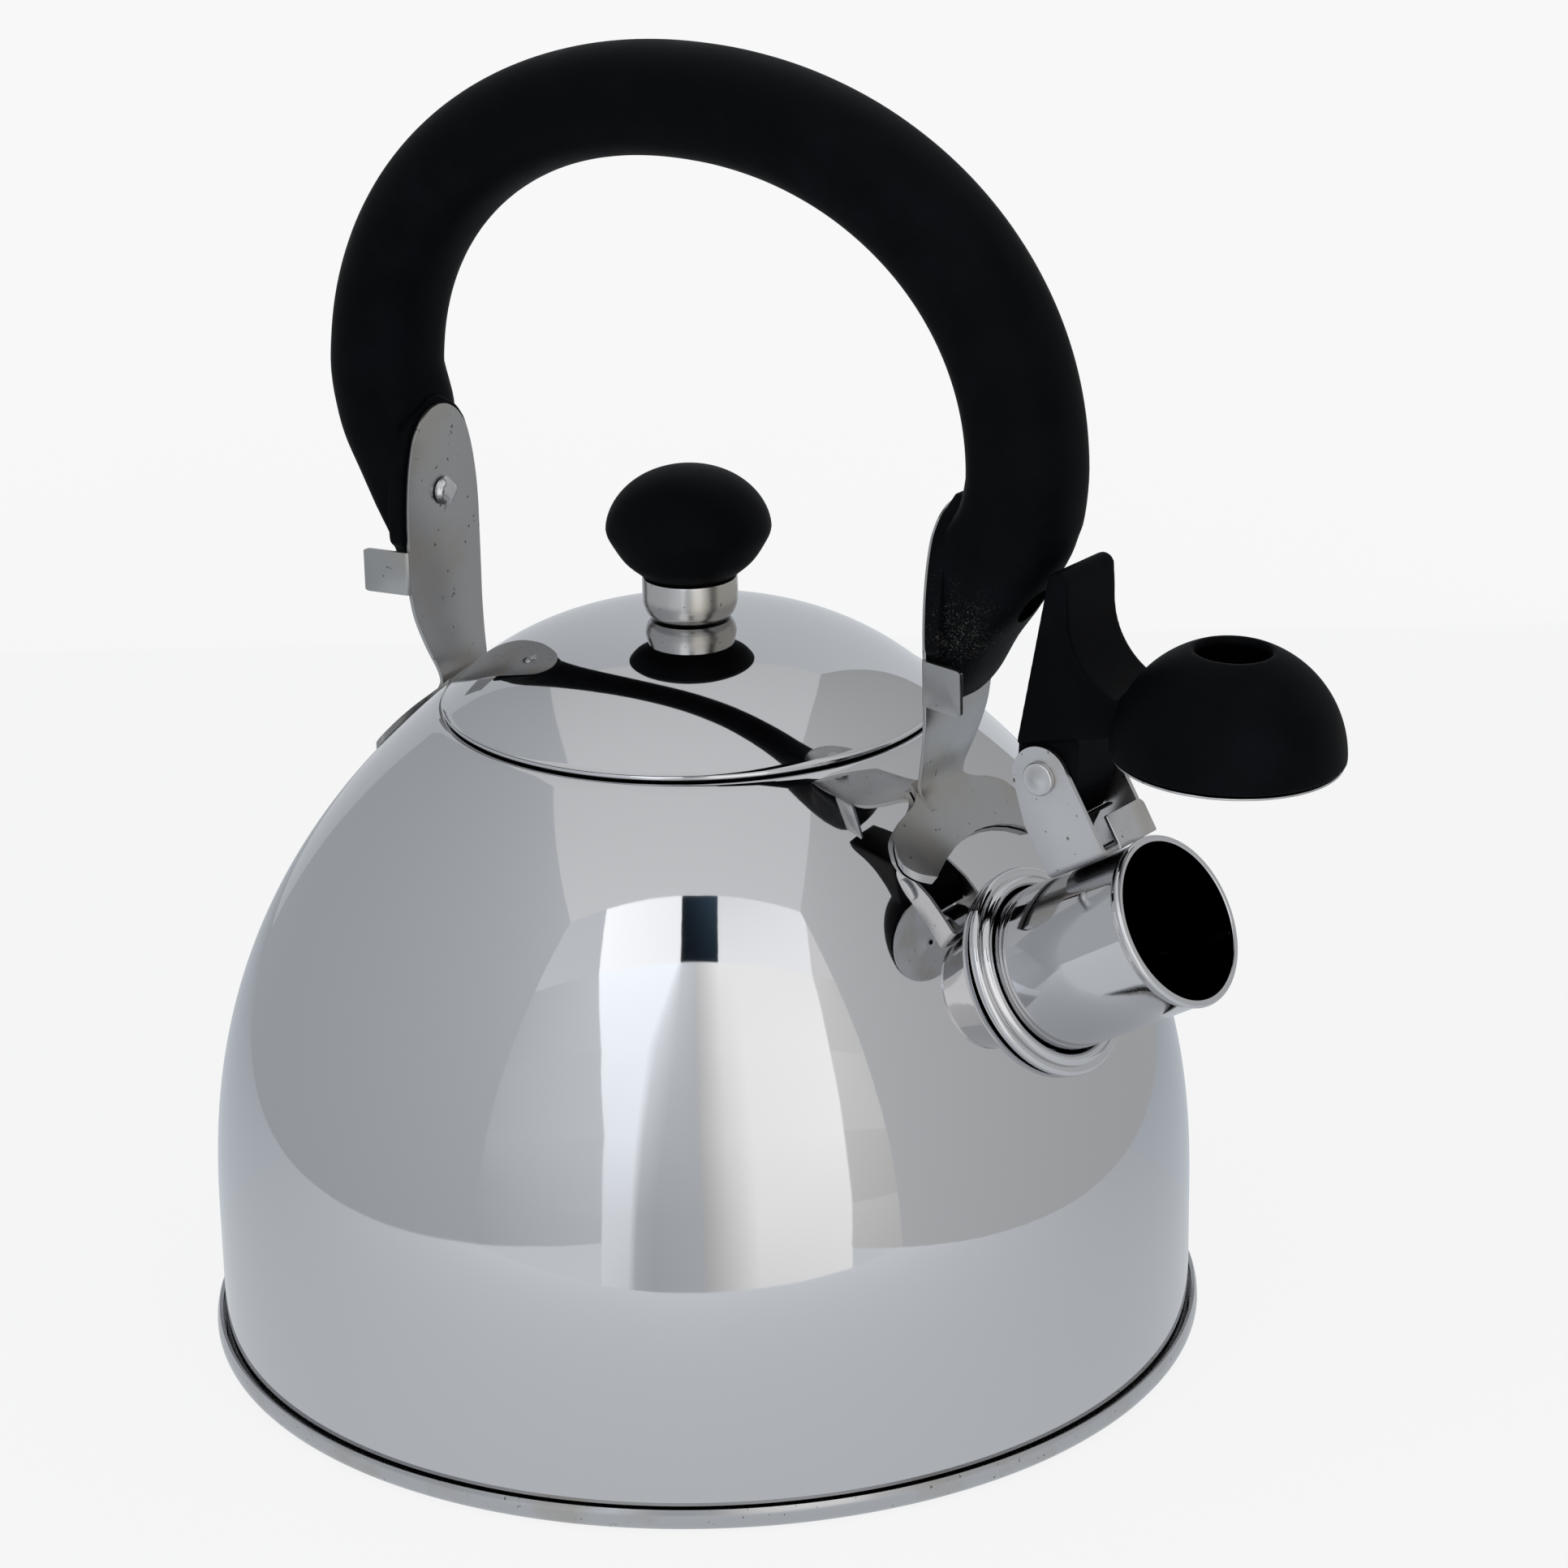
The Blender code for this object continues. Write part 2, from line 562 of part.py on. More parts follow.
def bracket_blank(spout):
    """The front bracket: an upright plate, a leaning neck, a stop tab and the saddle foot."""
    middle = BRACKET_X + BRACKET_PLATE / 2
    plate = mirrored([(BRACKET_HALF_WIDTH, BRACKET_STRAIGHT)] + BRACKET_TOP)
    made = helper("front_plate", prism(plate, BRACKET_X, BRACKET_X + BRACKET_PLATE, "X"))
    stations = [
        (middle, 137.0, 0, BRACKET_HALF_WIDTH - 0.02),
        (middle, BRACKET_STRAIGHT, 0, BRACKET_HALF_WIDTH - 0.02),
        (59.5, 131.5, -12, 9.8),
        (58.2, 126.0, -18, 8.5),
        (56.7, 121.4, -22, 7.2),
        (NECK_X + 0.35, 119.0, -8, NECK_HALF_WIDTH),
        (NECK_X + 0.6, 117.8, 20, NECK_HALF_WIDTH),
        (NECK_X + 1.4, 116.55, 40, NECK_HALF_WIDTH),
        (NECK_X + 3.0, 114.95, 45, NECK_HALF_WIDTH),
    ]
    neck = lofted([strip_ring(x, z, lean, half, BRACKET_PLATE - 0.04) for x, z, lean, half in stations])
    stop = stop_tab()
    combine(made, helper("front_neck", neck), "UNION")
    combine(made, stop, "UNION")
    combine(made, saddle_foot(spout), "UNION")
    bore = round_bar_x(HANDLE_RIVET_RADIUS + GAP, 50, 90, (0, PIVOT_HEIGHT))
    combine(made, helper("front_plate_bore", bore), "DIFFERENCE")
    return made


def handle_brackets(steel, spout):
    """The two brackets: one pressing, and its mirror image at the rear."""
    blank = bracket_blank(spout)
    bpy.context.view_layer.update()
    graph = bpy.context.evaluated_depsgraph_get()
    for name, side in (("front_handle_bracket", 1), ("rear_handle_bracket", -1)):
        shape = bmesh.new()
        shape.from_mesh(blank.evaluated_get(graph).to_mesh())
        bmesh.ops.scale(shape, verts=shape.verts, vec=(side, 1, 1))
        piece(name, closed(shape), steel)


def leg_stations(side):
    """One leg from its tip up: (x, height, radial half, side half, squareness of the inner face)."""
    pad, shift = PAD_X, side * BAIL_MIDDLE
    inner = BAIL_HALF_SPAN + shift - GRIP_RADIAL
    faces = [
        (136.2, pad + 0.3, 62.8, 4.6, 6),
        (137.4, pad, 63.6, 7.6, 6),
        (140.5, pad, 65.2 + shift / 2, 9.1, 8),
        (146.5, pad, 68.4 + shift, 9.7, 8),
        (152.5, pad, 73.2 + shift, 9.9, 8),
        (158.8, pad, 77.5 + shift, 10.0, 8),
        (164.0, pad + 0.5, 80.7 + shift, 10.2, 7),
        (168.0, pad + 1.5, 82.2 + shift, 10.4, 5),
        (172.0, inner - 0.6, 83.2 + shift, 10.7, 3),
    ]
    return [((low + high) / 2, z, (high - low) / 2, side, power) for z, low, high, side, power in faces]


def bail_path():
    """Centre line with section sizes, from the rear leg's tip over the bow to the front leg's tip."""
    shift = BAIL_MIDDLE
    path = [(-x, z, a, b, m, (0, 1)) for x, z, a, b, m in leg_stations(-1)]
    steps = 26
    for step in range(steps + 1):
        angle = math.pi * (1 - step / steps)
        power = 2 / BAIL_POWER
        across = math.copysign(abs(math.cos(angle)) ** power, math.cos(angle))
        up = math.sin(angle) ** power if 0 < step < steps else 0.0
        x = shift + BAIL_HALF_SPAN * across + BAIL_LEAN * up
        path.append((x, BAIL_SPRING_HEIGHT + BAIL_RISE * up, GRIP_RADIAL, GRIP_SIDE, 2.2, None))
    return path + [(x, z, a, b, m, (0, -1)) for x, z, a, b, m in leg_stations(1)[::-1]]


def grip_ring(x, z, radial, side, inner_power, inward):
    """Section of the grip: round outside, flattened on the side that faces the kettle's axis."""
    points = []
    for step in range(SMALL):
        angle = math.tau * step / SMALL
        towards, across = math.cos(angle), math.sin(angle)
        power = inner_power if towards > 0 else 2.2
        reach = (abs(towards) ** power + abs(across) ** power) ** (-1 / power)
        place = Vector((x, 0, z)) + inward * radial * towards * reach
        points.append(place + Vector((0, side * across * reach, 0)))
    return points


def handle_grip(moulding, pivot):
    """One-piece bail handle with a bore and an outside pocket at each leg."""
    path = bail_path()
    centres = [Vector((x, 0, z)) for x, z, *_ in path]
    rings = []
    for index, (x, z, radial, side, inner_power, way) in enumerate(path):
        if way:
            inward = Vector((way[1], 0, 0))
        else:
            ahead = centres[min(index + 1, len(path) - 1)] - centres[max(index - 1, 0)]
            inward = Vector((ahead.z, 0, -ahead.x)).normalized()
        rings.append(grip_ring(x, z - PIVOT_HEIGHT, radial, side, inner_power, inward))
    made = piece("handle_grip", lofted(rings), moulding, pivot)
    pad = [(9.0, 143.5), (10.3, 145.6), (11.0, 146.3), (11.5, 147.4)]
    pad += [(half + PAD_MARGIN, z + PAD_MARGIN / 2) for half, z in BRACKET_TOP[:-1]]
    pad = [(half, z - PIVOT_HEIGHT) for half, z in pad + [(1.5, 173.6)]]
    for name, low, high in (("rear_pad", -PAD_X - PAD_THICK, -PAD_X), ("front_pad", PAD_X, PAD_X + PAD_THICK)):
        combine(made, helper(name, prism(mirrored(pad), low, high, "X"), pivot), "UNION")
    bore = round_bar_x(HANDLE_RIVET_RADIUS + GAP, -95, 95, (0, 0))
    combine(made, helper("leg_bores", bore, pivot), "DIFFERENCE")
    for name, low, high in (("rear_pocket", -95, -POCKET_FLOOR), ("front_pocket", POCKET_FLOOR, 95)):
        pocket = round_bar_x(POCKET_RADIUS, low, high, (0, 0))
        combine(made, helper(name, pocket, pivot), "DIFFERENCE")


def handle_rivets(steel, pivot):
    """A rivet and its washer on each side: staked inside the bracket, headed in the pocket."""
    staked = BRACKET_X - GAP
    seat = POCKET_FLOOR + GAP
    for name, side in (("front", 1), ("rear", -1)):
        outline = [(0, staked - 1.6), (1.6, staked - 1.4), (2.6, staked - 0.6), (2.6, staked)]
        outline += [(HANDLE_RIVET_RADIUS, staked), (HANDLE_RIVET_RADIUS, seat + 0.6 + GAP)]
        head = RIVET_END_RADIUS
        outline += [(head, seat + 0.6 + GAP), (head, seat + 1.2), (head - 0.9, seat + 1.7), (0, seat + 1.9)]
        shape = turned([(radius, side * x) for radius, x in outline], SMALL, "X")
        piece(f"{name}_handle_rivet", shape, steel, pivot)
        bore = HANDLE_RIVET_RADIUS + GAP
        ring = [(bore, seat), (WASHER_RADIUS, seat), (WASHER_RADIUS, seat + 0.6), (bore, seat + 0.6)]
        shape = turned([(radius, side * x) for radius, x in ring], SMALL, "X")
        piece(f"{name}_rivet_washer", shape, steel, pivot)


def main():
    for old in list(bpy.data.objects):
        bpy.data.objects.remove(old, do_unlink=True)

    mirror_steel = finish("Mirror polished stainless", (0.74, 0.74, 0.75), 0.06, 1.0)
    satin_steel = finish("Satin stainless", (0.60, 0.60, 0.60), 0.32, 1.0)
    spring_steel = finish("Spring steel", (0.50, 0.50, 0.51), 0.28, 1.0)
    black_moulding = finish("Black phenolic", (0.012, 0.013, 0.016), 0.55, 0.0)

    spout = frame("spout_frame", MOUTH, -SPOUT_TILT)
    body_shell(mirror_steel, spout)
    base_pan(satin_steel)
    spout_tube(mirror_steel, spout)
    spout_collar(mirror_steel, spout)
    lever_bracket(satin_steel, spout)
    detent_spring(spring_steel, spout)
    lever_rivet(satin_steel, spout)

    tilt = Matrix.Rotation(math.radians(-SPOUT_TILT), 3, "Y")
    lever_pivot = MOUTH + tilt @ Vector((PIVOT_BACK, 0, PIVOT_UP))
    hinge = frame("lever_hinge", lever_pivot, LEVER_TILT)
    whistle_lever(black_moulding, hinge)
    whistle_discs(satin_steel, hinge)

    lid = frame("lid_slide", (0, 0, 0))
    lid_shell(mirror_steel, lid)
    lid_skirt(mirror_steel, lid)
    lid_knob(black_moulding, satin_steel, lid)

    handle_brackets(satin_steel, spout)
    pivot = frame("handle_pivot", (0, 0, PIVOT_HEIGHT))
    handle_grip(black_moulding, pivot)
    handle_rivets(satin_steel, pivot)


main()
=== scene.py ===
"""A stovetop whistling kettle in mirror-polished stainless steel, dressed for a plain studio picture.

Every piece is made in the kettle's own frame: its axis is Z, its underside is at Z = 0 and +X points
to the spout. Sizes are in millimetres unless a name says otherwise, and meshes are in metres.
"""

import functools
import logging
import math
from dataclasses import dataclass, field
from enum import Enum
from typing import Any, Callable, Iterable, Sequence

import bmesh
import bpy
from mathutils import Matrix, Vector


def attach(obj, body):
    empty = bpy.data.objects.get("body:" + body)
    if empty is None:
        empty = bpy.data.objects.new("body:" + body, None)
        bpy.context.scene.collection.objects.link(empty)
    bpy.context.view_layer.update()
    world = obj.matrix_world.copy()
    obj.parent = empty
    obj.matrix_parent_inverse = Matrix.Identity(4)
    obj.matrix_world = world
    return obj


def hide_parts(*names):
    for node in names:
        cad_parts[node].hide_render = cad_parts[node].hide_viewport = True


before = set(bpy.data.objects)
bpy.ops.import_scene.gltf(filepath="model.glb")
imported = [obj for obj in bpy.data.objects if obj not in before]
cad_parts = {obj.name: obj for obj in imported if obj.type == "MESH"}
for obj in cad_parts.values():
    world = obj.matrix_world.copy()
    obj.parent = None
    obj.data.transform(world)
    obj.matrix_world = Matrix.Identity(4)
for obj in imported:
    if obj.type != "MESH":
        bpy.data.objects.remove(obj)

log = logging.getLogger("kettle")

MM = 0.001
GAP = 0.3  # air between pieces that touch on the real kettle
SHEET = 0.6  # drawn body and lid sheet
FINE = 256  # segments round the large turned pieces
MEDIUM = 128
SMALL = 48

Point = tuple[float, float]
Outline = list[Point]


class Axis(Enum):
    """Direction that a turned or pressed shape is made along."""

    X = (1.0, 0.0, 0.0)
    Y = (0.0, 1.0, 0.0)
    Z = (0.0, 0.0, 1.0)


class Slot(Enum):
    """Material slots of the part."""

    MIRROR = "mirror_steel"
    SATIN = "satin_steel"
    SPRING = "spring_steel"
    BLACK = "black_moulding"


# ---- Nodes ------------------------------------------------------------------------------------


def add_node(tree: bpy.types.NodeTree, kind: str, inputs: dict | None = None, **settings: Any) -> Any:
    """Adds one node with its settings, values and links.

    Args:
        tree: Tree that gets the node.
        kind: Blender's type name for the node.
        inputs: Socket name or number to a value, or to the output socket that feeds it.
        settings: Properties of the node.

    Returns:
        The new node.
    """
    node = tree.nodes.new(kind)
    for name, value in settings.items():
        setattr(node, name, value)
    for key, value in (inputs or {}).items():
        if isinstance(value, bpy.types.NodeSocket):
            tree.links.new(value, node.inputs[key])
        else:
            node.inputs[key].default_value = value
    return node


def linear(hex_colour: str) -> tuple[float, float, float, float]:
    """Turns an sRGB hex colour to linear RGBA.

    Args:
        hex_colour: Six hex digits.

    Returns:
        Red, green, blue and an alpha of 1.
    """
    channels = [int(hex_colour[i : i + 2], 16) / 255 for i in (0, 2, 4)]
    red, green, blue = (c / 12.92 if c <= 0.04045 else ((c + 0.055) / 1.055) ** 2.4 for c in channels)
    return (red, green, blue, 1.0)


def empty_material(name: str) -> tuple[bpy.types.Material, bpy.types.NodeTree]:
    """Makes a node material with nothing in it.

    Args:
        name: Name of the material.

    Returns:
        The material and its tree.
    """
    made = bpy.data.materials.new(name)
    made.use_nodes = True
    made.node_tree.nodes.clear()
    return made, made.node_tree


def mapped(tree: bpy.types.NodeTree, place: Any, **settings: Any) -> Any:
    """A place turned or scaled by the mapping settings."""
    return add_node(tree, "ShaderNodeMapping", {0: place, **settings}).outputs[0]


def noise(tree: bpy.types.NodeTree, place: Any, scale: float, detail: float, **settings: float) -> Any:
    """Smooth noise at a place.

    Args:
        tree: Tree that gets the node.
        place: Socket with the place.
        scale: Cells in a metre.
        detail: Number of finer layers.
        settings: Other values of the node.

    Returns:
        Output socket, about 0.5 on average.
    """
    return add_node(
        tree, "ShaderNodeTexNoise", {"Vector": place, "Scale": scale, "Detail": detail, **settings}
    ).outputs[0]


def ranged(tree: bpy.types.NodeTree, value: Any, source: Point, target: Point = (0.0, 1.0)) -> Any:
    """A value carried from one range to another and held inside it.

    Args:
        tree: Tree that gets the node.
        value: Socket with the value.
        source: Lower and upper end of the range it has.
        target: What the lower and the upper end become.

    Returns:
        Output socket.
    """
    ends = {1: source[0], 2: source[1], 3: target[0], 4: target[1]}
    return add_node(tree, "ShaderNodeMapRange", {0: value, **ends}).outputs[0]


def mixed(tree: bpy.types.NodeTree, share: Any, first: Any, second: Any) -> Any:
    """A colour between two others, by the second one's share."""
    return add_node(tree, "ShaderNodeMix", {0: share, 6: first, 7: second}, data_type="RGBA").outputs[2]


def bumped(tree: bpy.types.NodeTree, height: Any, depth: float, strength: float = 0.5, **below: Any) -> Any:
    """Surface direction over small heights.

    Args:
        tree: Tree that gets the node.
        height: Socket with the height.
        depth: Metres that a height of 1 stands for.
        strength: Share of the bump that shows.
        below: Normal of the bump this one lies on.

    Returns:
        Output socket.
    """
    return add_node(
        tree, "ShaderNodeBump", {"Strength": strength, "Distance": depth, "Height": height, **below}
    ).outputs[0]


def surface(tree: bpy.types.NodeTree, inputs: dict) -> None:
    """Adds the shader and the material's output."""
    shader = add_node(tree, "ShaderNodeBsdfPrincipled", inputs)
    add_node(tree, "ShaderNodeOutputMaterial", {"Surface": shader.outputs[0]})


# ---- Finishes ---------------------------------------------------------------------------------


@dataclass(frozen=True)
class MirrorSteel:
    """Stainless steel 304, drawn and then buffed round its axis to a mirror.

    The eye sees sharp reflections whose edges waver a little, from the drawn sheet's waviness, and a
    fine smear along the buffing rings.
    """

    name: str = "Stainless 304, buffed mirror"
    colour: str = "c8c8ca"
    roughness: float = 0.03
    wave_mm: float = 16.0  # waviness that deep drawing leaves
    ripple_mm: float = 3.0  # orange peel
    ring_mm: float = 0.5  # buffing rings; real ones are ten times finer, and wouldn't show
    tilt: float = 0.0  # turn of the ring axis about Y, in degrees

    @functools.cache
    def material(self) -> bpy.types.Material:
        """Builds the material once, and returns it."""
        made, tree = empty_material(self.name)
        place = add_node(tree, "ShaderNodeTexCoord").outputs["Object"]
        turned_place = mapped(tree, place, Rotation=(0, math.radians(self.tilt), 0))
        rings = mapped(tree, turned_place, Scale=(18, 18, 1000 / self.ring_mm))
        smear = noise(tree, place, 28.0, 4.0)
        gloss = ranged(tree, smear, (0.35, 0.75), (self.roughness * 0.7, self.roughness * 1.9))
        waves = bumped(tree, noise(tree, place, 1000 / self.wave_mm, 1.0), 0.00004)
        ripples = bumped(tree, noise(tree, place, 1000 / self.ripple_mm, 2.0), 0.0000035, Normal=waves)
        grain = bumped(tree, noise(tree, rings, 1.0, 2.0), 0.0000006, Normal=ripples)
        surface(
            tree,
            {"Base Color": linear(self.colour), "Metallic": 1.0, "Roughness": gloss, "Normal": grain},
        )
        return made


@dataclass(frozen=True)
class SatinSteel:
    """Stainless steel 304 blanked from satin sheet and tumbled to take off its burrs.

    The eye sees a soft grey with a fine directional grain, small dark pits, and a breath of straw
    colour where welding heat reached.
    """

    name: str = "Stainless 304, tumbled satin"
    colour: str = "a9a9aa"
    heat_colour: str = "a39a86"
    pit_colour: str = "6a655c"
    roughness: float = 0.3
    grain_mm: tuple[float, float, float] = (0.35, 0.35, 5.0)  # coarser than the real 0.05 mm grain, to show
    pit_mm: float = 1.4
    tilt: float = 0.0  # turn of the grain about Y, in degrees

    @functools.cache
    def material(self) -> bpy.types.Material:
        """Builds the material once, and returns it."""
        made, tree = empty_material(self.name)
        place = add_node(tree, "ShaderNodeTexCoord").outputs["Object"]
        along = mapped(tree, place, Rotation=(0, math.radians(self.tilt), 0))
        stretched = mapped(tree, along, Scale=tuple(1000 / size for size in self.grain_mm))
        cloud = noise(tree, place, 60.0, 4.0)
        pits = ranged(tree, noise(tree, place, 1000 / self.pit_mm, 1.0), (0.72, 0.78))
        heat = ranged(tree, cloud, (0.5, 0.72), (0.0, 0.5))
        tinted = mixed(tree, heat, linear(self.colour), linear(self.heat_colour))
        pitted = mixed(tree, pits, tinted, linear(self.pit_colour))
        gloss = ranged(tree, cloud, (0.3, 0.7), (self.roughness * 0.75, self.roughness * 1.3))
        grain = bumped(tree, noise(tree, stretched, 1.0, 3.0), 0.00001)
        dents = bumped(tree, cloud, 0.00006, Normal=grain)
        surface(tree, {"Base Color": pitted, "Metallic": 1.0, "Roughness": gloss, "Normal": dents})
        return made


@dataclass(frozen=True)
class BlackPhenolic:
    """Black phenolic, compression moulded in a blasted tool.

    The eye sees a deep matt blue-black with a fine pebble, a pale haze where hands rub it, and dust
    caught on the lower front leg.
    """

    name: str = "Phenolic, matt moulded"
    colour: str = "050608"
    haze_colour: str = "0f1116"
    dust_colour: str = "55544f"
    roughness: float = 0.55
    specular: float = 0.035
    pebble_mm: float = 0.45
    dust_share: float = 0.0
    dust_centre_mm: tuple[float, float, float] = (66.0, -9.0, 151.0)
    dust_reach_mm: float = 21.0

    def dust(self, tree: bpy.types.NodeTree, place: Any) -> Any:
        """Share of dust at a place: specks inside patches, near the dust's centre only.

        Args:
            tree: Tree that gets the nodes.
            place: Socket with the place.

        Returns:
            Output socket, 0 to 0.75.
        """
        specks = noise(tree, place, 2600.0, 2.0, Roughness=0.7)
        patches = noise(tree, place, 120.0, 5.0, Roughness=0.7)
        centre = tuple(value * MM for value in self.dust_centre_mm)
        away = add_node(tree, "ShaderNodeVectorMath", {0: place, 1: centre}, operation="DISTANCE")
        reach = (0.0, self.dust_reach_mm * MM)
        near = ranged(tree, away.outputs["Value"], reach, (self.dust_share, 0.0))
        patchy = add_node(tree, "ShaderNodeMath", {0: patches, 1: near}, operation="MULTIPLY")
        total = add_node(tree, "ShaderNodeMath", {0: specks, 1: patchy.outputs[0]}, operation="ADD")
        return ranged(tree, total.outputs[0], (0.8, 0.98), (0.0, 0.75))

    @functools.cache
    def material(self) -> bpy.types.Material:
        """Builds the material once, and returns it."""
        made, tree = empty_material(self.name)
        place = add_node(tree, "ShaderNodeTexCoord").outputs["Object"]
        cloud = noise(tree, place, 45.0, 6.0, Roughness=0.62)
        haze = ranged(tree, cloud, (0.46, 0.78), (0.0, 0.8))
        hazy = mixed(tree, haze, linear(self.colour), linear(self.haze_colour))
        dusty = mixed(tree, self.dust(tree, place), hazy, linear(self.dust_colour))
        gloss = ranged(tree, cloud, (0.3, 0.75), (self.roughness - 0.08, self.roughness + 0.12))
        pebble = bumped(tree, noise(tree, place, 1000 / self.pebble_mm, 2.0), 0.00006, 0.35)
        surface(
            tree,
            {"Base Color": dusty, "Roughness": gloss, "Normal": pebble,
             "Specular IOR Level": self.specular, "IOR": 1.5},
        )
        return made


@dataclass(frozen=True)
class PaintedShadeBore:
    """Stainless 304 inside the spout, never buffed: coloured near-black and non-metallic with faint random
    patches, as painted shade for the dark kettle interior seen down the bore.
    """

    name: str = "Spout bore, painted shade"
    # Near-black painted shade: the bore's bright steel would mirror the kettle's inside, and this colour
    # stands in for that darkness.
    colour: str = "0b0b0b"
    # Slightly lighter random patches within the same painted shade.
    shade_patch_colour: str = "161514"
    roughness: float = 0.6
    specular: float = 0.05

    @functools.cache
    def material(self) -> bpy.types.Material:
        """Builds the material once, and returns it."""
        made, tree = empty_material(self.name)
        place = add_node(tree, "ShaderNodeTexCoord").outputs["Object"]
        patches = noise(tree, place, 220.0, 4.0)
        painted_shade = mixed(tree, patches, linear(self.colour), linear(self.shade_patch_colour))
        surface(
            tree,
            {"Base Color": painted_shade, "Metallic": 0.0, "Roughness": self.roughness,
             "Specular IOR Level": self.specular},
        )
        return made


BODY_STEEL = MirrorSteel()
SPOUT_STEEL = MirrorSteel(
    name="Stainless 304, buffed mirror tube", roughness=0.035, wave_mm=9.0, tilt=-60.0
)
BRACKET_STEEL = SatinSteel()
RIM_STEEL = SatinSteel(
    name="Stainless 304, satin spun rim",
    colour="b9b9bb",
    roughness=0.2,
    grain_mm=(6.0, 6.0, 0.25),
    pit_mm=0.8,
)
HINGE_STEEL = SatinSteel(
    name="Stainless 304, linished hinge",
    colour="c2c2c4",
    roughness=0.26,
    grain_mm=(0.25, 0.25, 6.0),
    tilt=30.0,
)
FERRULE_STEEL = SatinSteel(
    name="Stainless 304, brushed ferrule", colour="c4c3c2", roughness=0.2, grain_mm=(0.22, 0.22, 9.0)
)
DISC_STEEL = SatinSteel(name="Stainless 304, bright disc", colour="bdbdbf", roughness=0.16)
RIVET_STEEL = SatinSteel(name="Stainless 304, cold-headed rivet", colour="c6c6c8", roughness=0.24)
SPRING_STEEL = SatinSteel(name="Spring steel, bright rolled", colour="a8a8aa", roughness=0.16)
MOULDING = BlackPhenolic()
GRIP_MOULDING = BlackPhenolic(name="Phenolic, matt moulded and dusty", dust_share=0.62)
BORE_PAINTED_SHADE = PaintedShadeBore()


# ---- Shapes -----------------------------------------------------------------------------------


def arc(centre: Point, radius: float, start: float, end: float, steps: int) -> Outline:
    """Points on a circular arc, with angles in degrees."""
    angles = (math.radians(start + (end - start) * i / steps) for i in range(steps + 1))
    return [(centre[0] + radius * math.cos(a), centre[1] + radius * math.sin(a)) for a in angles]


def eased(points: Sequence[Sequence[float]], steps: int) -> list[tuple[float, ...]]:
    """A smooth line through the points (Catmull-Rom).

    Args:
        points: Two or more points of any dimension.
        steps: Pieces between two neighbouring points.

    Returns:
        The line's points, the given ones among them.
    """
    line = []
    last = len(points) - 1
    for index in range(last):
        a, b, c, d = (points[min(max(index + k, 0), last)] for k in (-1, 0, 1, 2))
        for step in range(steps):
            t = step / steps
            spans = (
                (2 * q, r - p, 2 * p - 5 * q + 4 * r - s, 3 * q - p - 3 * r + s)
                for p, q, r, s in zip(a, b, c, d)
            )
            line.append(tuple(0.5 * (k + m * t + n * t**2 + o * t**3) for k, m, n, o in spans))
    return line + [tuple(points[-1])]


def beside(path: Sequence[Point], distance: float) -> Outline:
    """The path moved to the left of its direction, with mitred corners.

    Args:
        path: Points of the path.
        distance: How far to move it.

    Returns:
        As many points as the path has.
    """
    points = [Vector(point) for point in path]
    ways = [(b - a).normalized() for a, b in zip(points, points[1:])]
    lefts = [Vector((-way.y, way.x)) for way in ways]
    moved = []
    for index, point in enumerate(points):
        before = lefts[max(index - 1, 0)]
        after = lefts[min(index, len(lefts) - 1)]
        middle = (before + after).normalized()
        moved.append(tuple(point + middle * distance / max(middle.dot(after), 0.5)))
    return moved


def sheet(path: Sequence[Point], thickness: float) -> Outline:
    """Closed outline of a sheet whose outer face is the path and whose metal lies to its left."""
    return list(path) + beside(path, thickness)[::-1]


def joined(shape: bmesh.types.BMesh) -> bmesh.types.BMesh:
    """Merges doubles and turns every face outwards."""
    bmesh.ops.remove_doubles(shape, verts=shape.verts, dist=1e-7)
    bmesh.ops.recalc_face_normals(shape, faces=shape.faces)
    return shape


def lofted(rings: Sequence[Sequence[Vector]]) -> bmesh.types.BMesh:
    """A solid through rings of points, with its two ends filled."""
    shape = bmesh.new()
    loops = [[shape.verts.new(point * MM) for point in ring] for ring in rings]
    for near, far in zip(loops, loops[1:]):
        for i in range(len(near)):
            j = (i + 1) % len(near)
            shape.faces.new((near[i], near[j], far[j], far[i]))
    shape.faces.new(loops[0][::-1])
    shape.faces.new(loops[-1])
    return joined(shape)


def prism(outline: Sequence[Point], low: float, high: float, along: Axis) -> bmesh.types.BMesh:
    """A solid with this outline from low to high along one axis; the outline lists the other two."""
    place: Callable[[float, float, float], tuple[float, float, float]] = {
        Axis.X: lambda u, v, w: (w, u, v),
        Axis.Y: lambda u, v, w: (u, w, v),
        Axis.Z: lambda u, v, w: (u, v, w),
    }[along]
    return lofted([[Vector(place(u, v, end)) for u, v in outline] for end in (low, high)])


def round_bar(radius: float, low: float, high: float, centre: Point, along: Axis) -> bmesh.types.BMesh:
    """A round bar along an axis, about a centre given in the other two."""
    return prism(arc(centre, radius, 0, 360 - 360 / SMALL, SMALL - 1), low, high, along)


def mesh_of(shape: bmesh.types.BMesh, name: str) -> bpy.types.Mesh:
    """Turns a bmesh to a mesh, and frees it."""
    mesh = bpy.data.meshes.new(name)
    shape.to_mesh(mesh)
    shape.free()
    return mesh


def object_of(mesh: bpy.types.Mesh, name: str) -> bpy.types.Object:
    """An object in the scene that holds the mesh."""
    made = bpy.data.objects.new(name, mesh)
    bpy.context.scene.collection.objects.link(made)
    return made


def settled(made: bpy.types.Object) -> bpy.types.Mesh:
    """Takes the object's evaluated mesh and removes the object.

    Args:
        made: Object with live modifiers.

    Returns:
        A plain mesh.
    """
    bpy.context.view_layer.update()
    graph = bpy.context.evaluated_depsgraph_get()
    mesh = bpy.data.meshes.new_from_object(made.evaluated_get(graph))
    bpy.data.objects.remove(made, do_unlink=True)
    return mesh


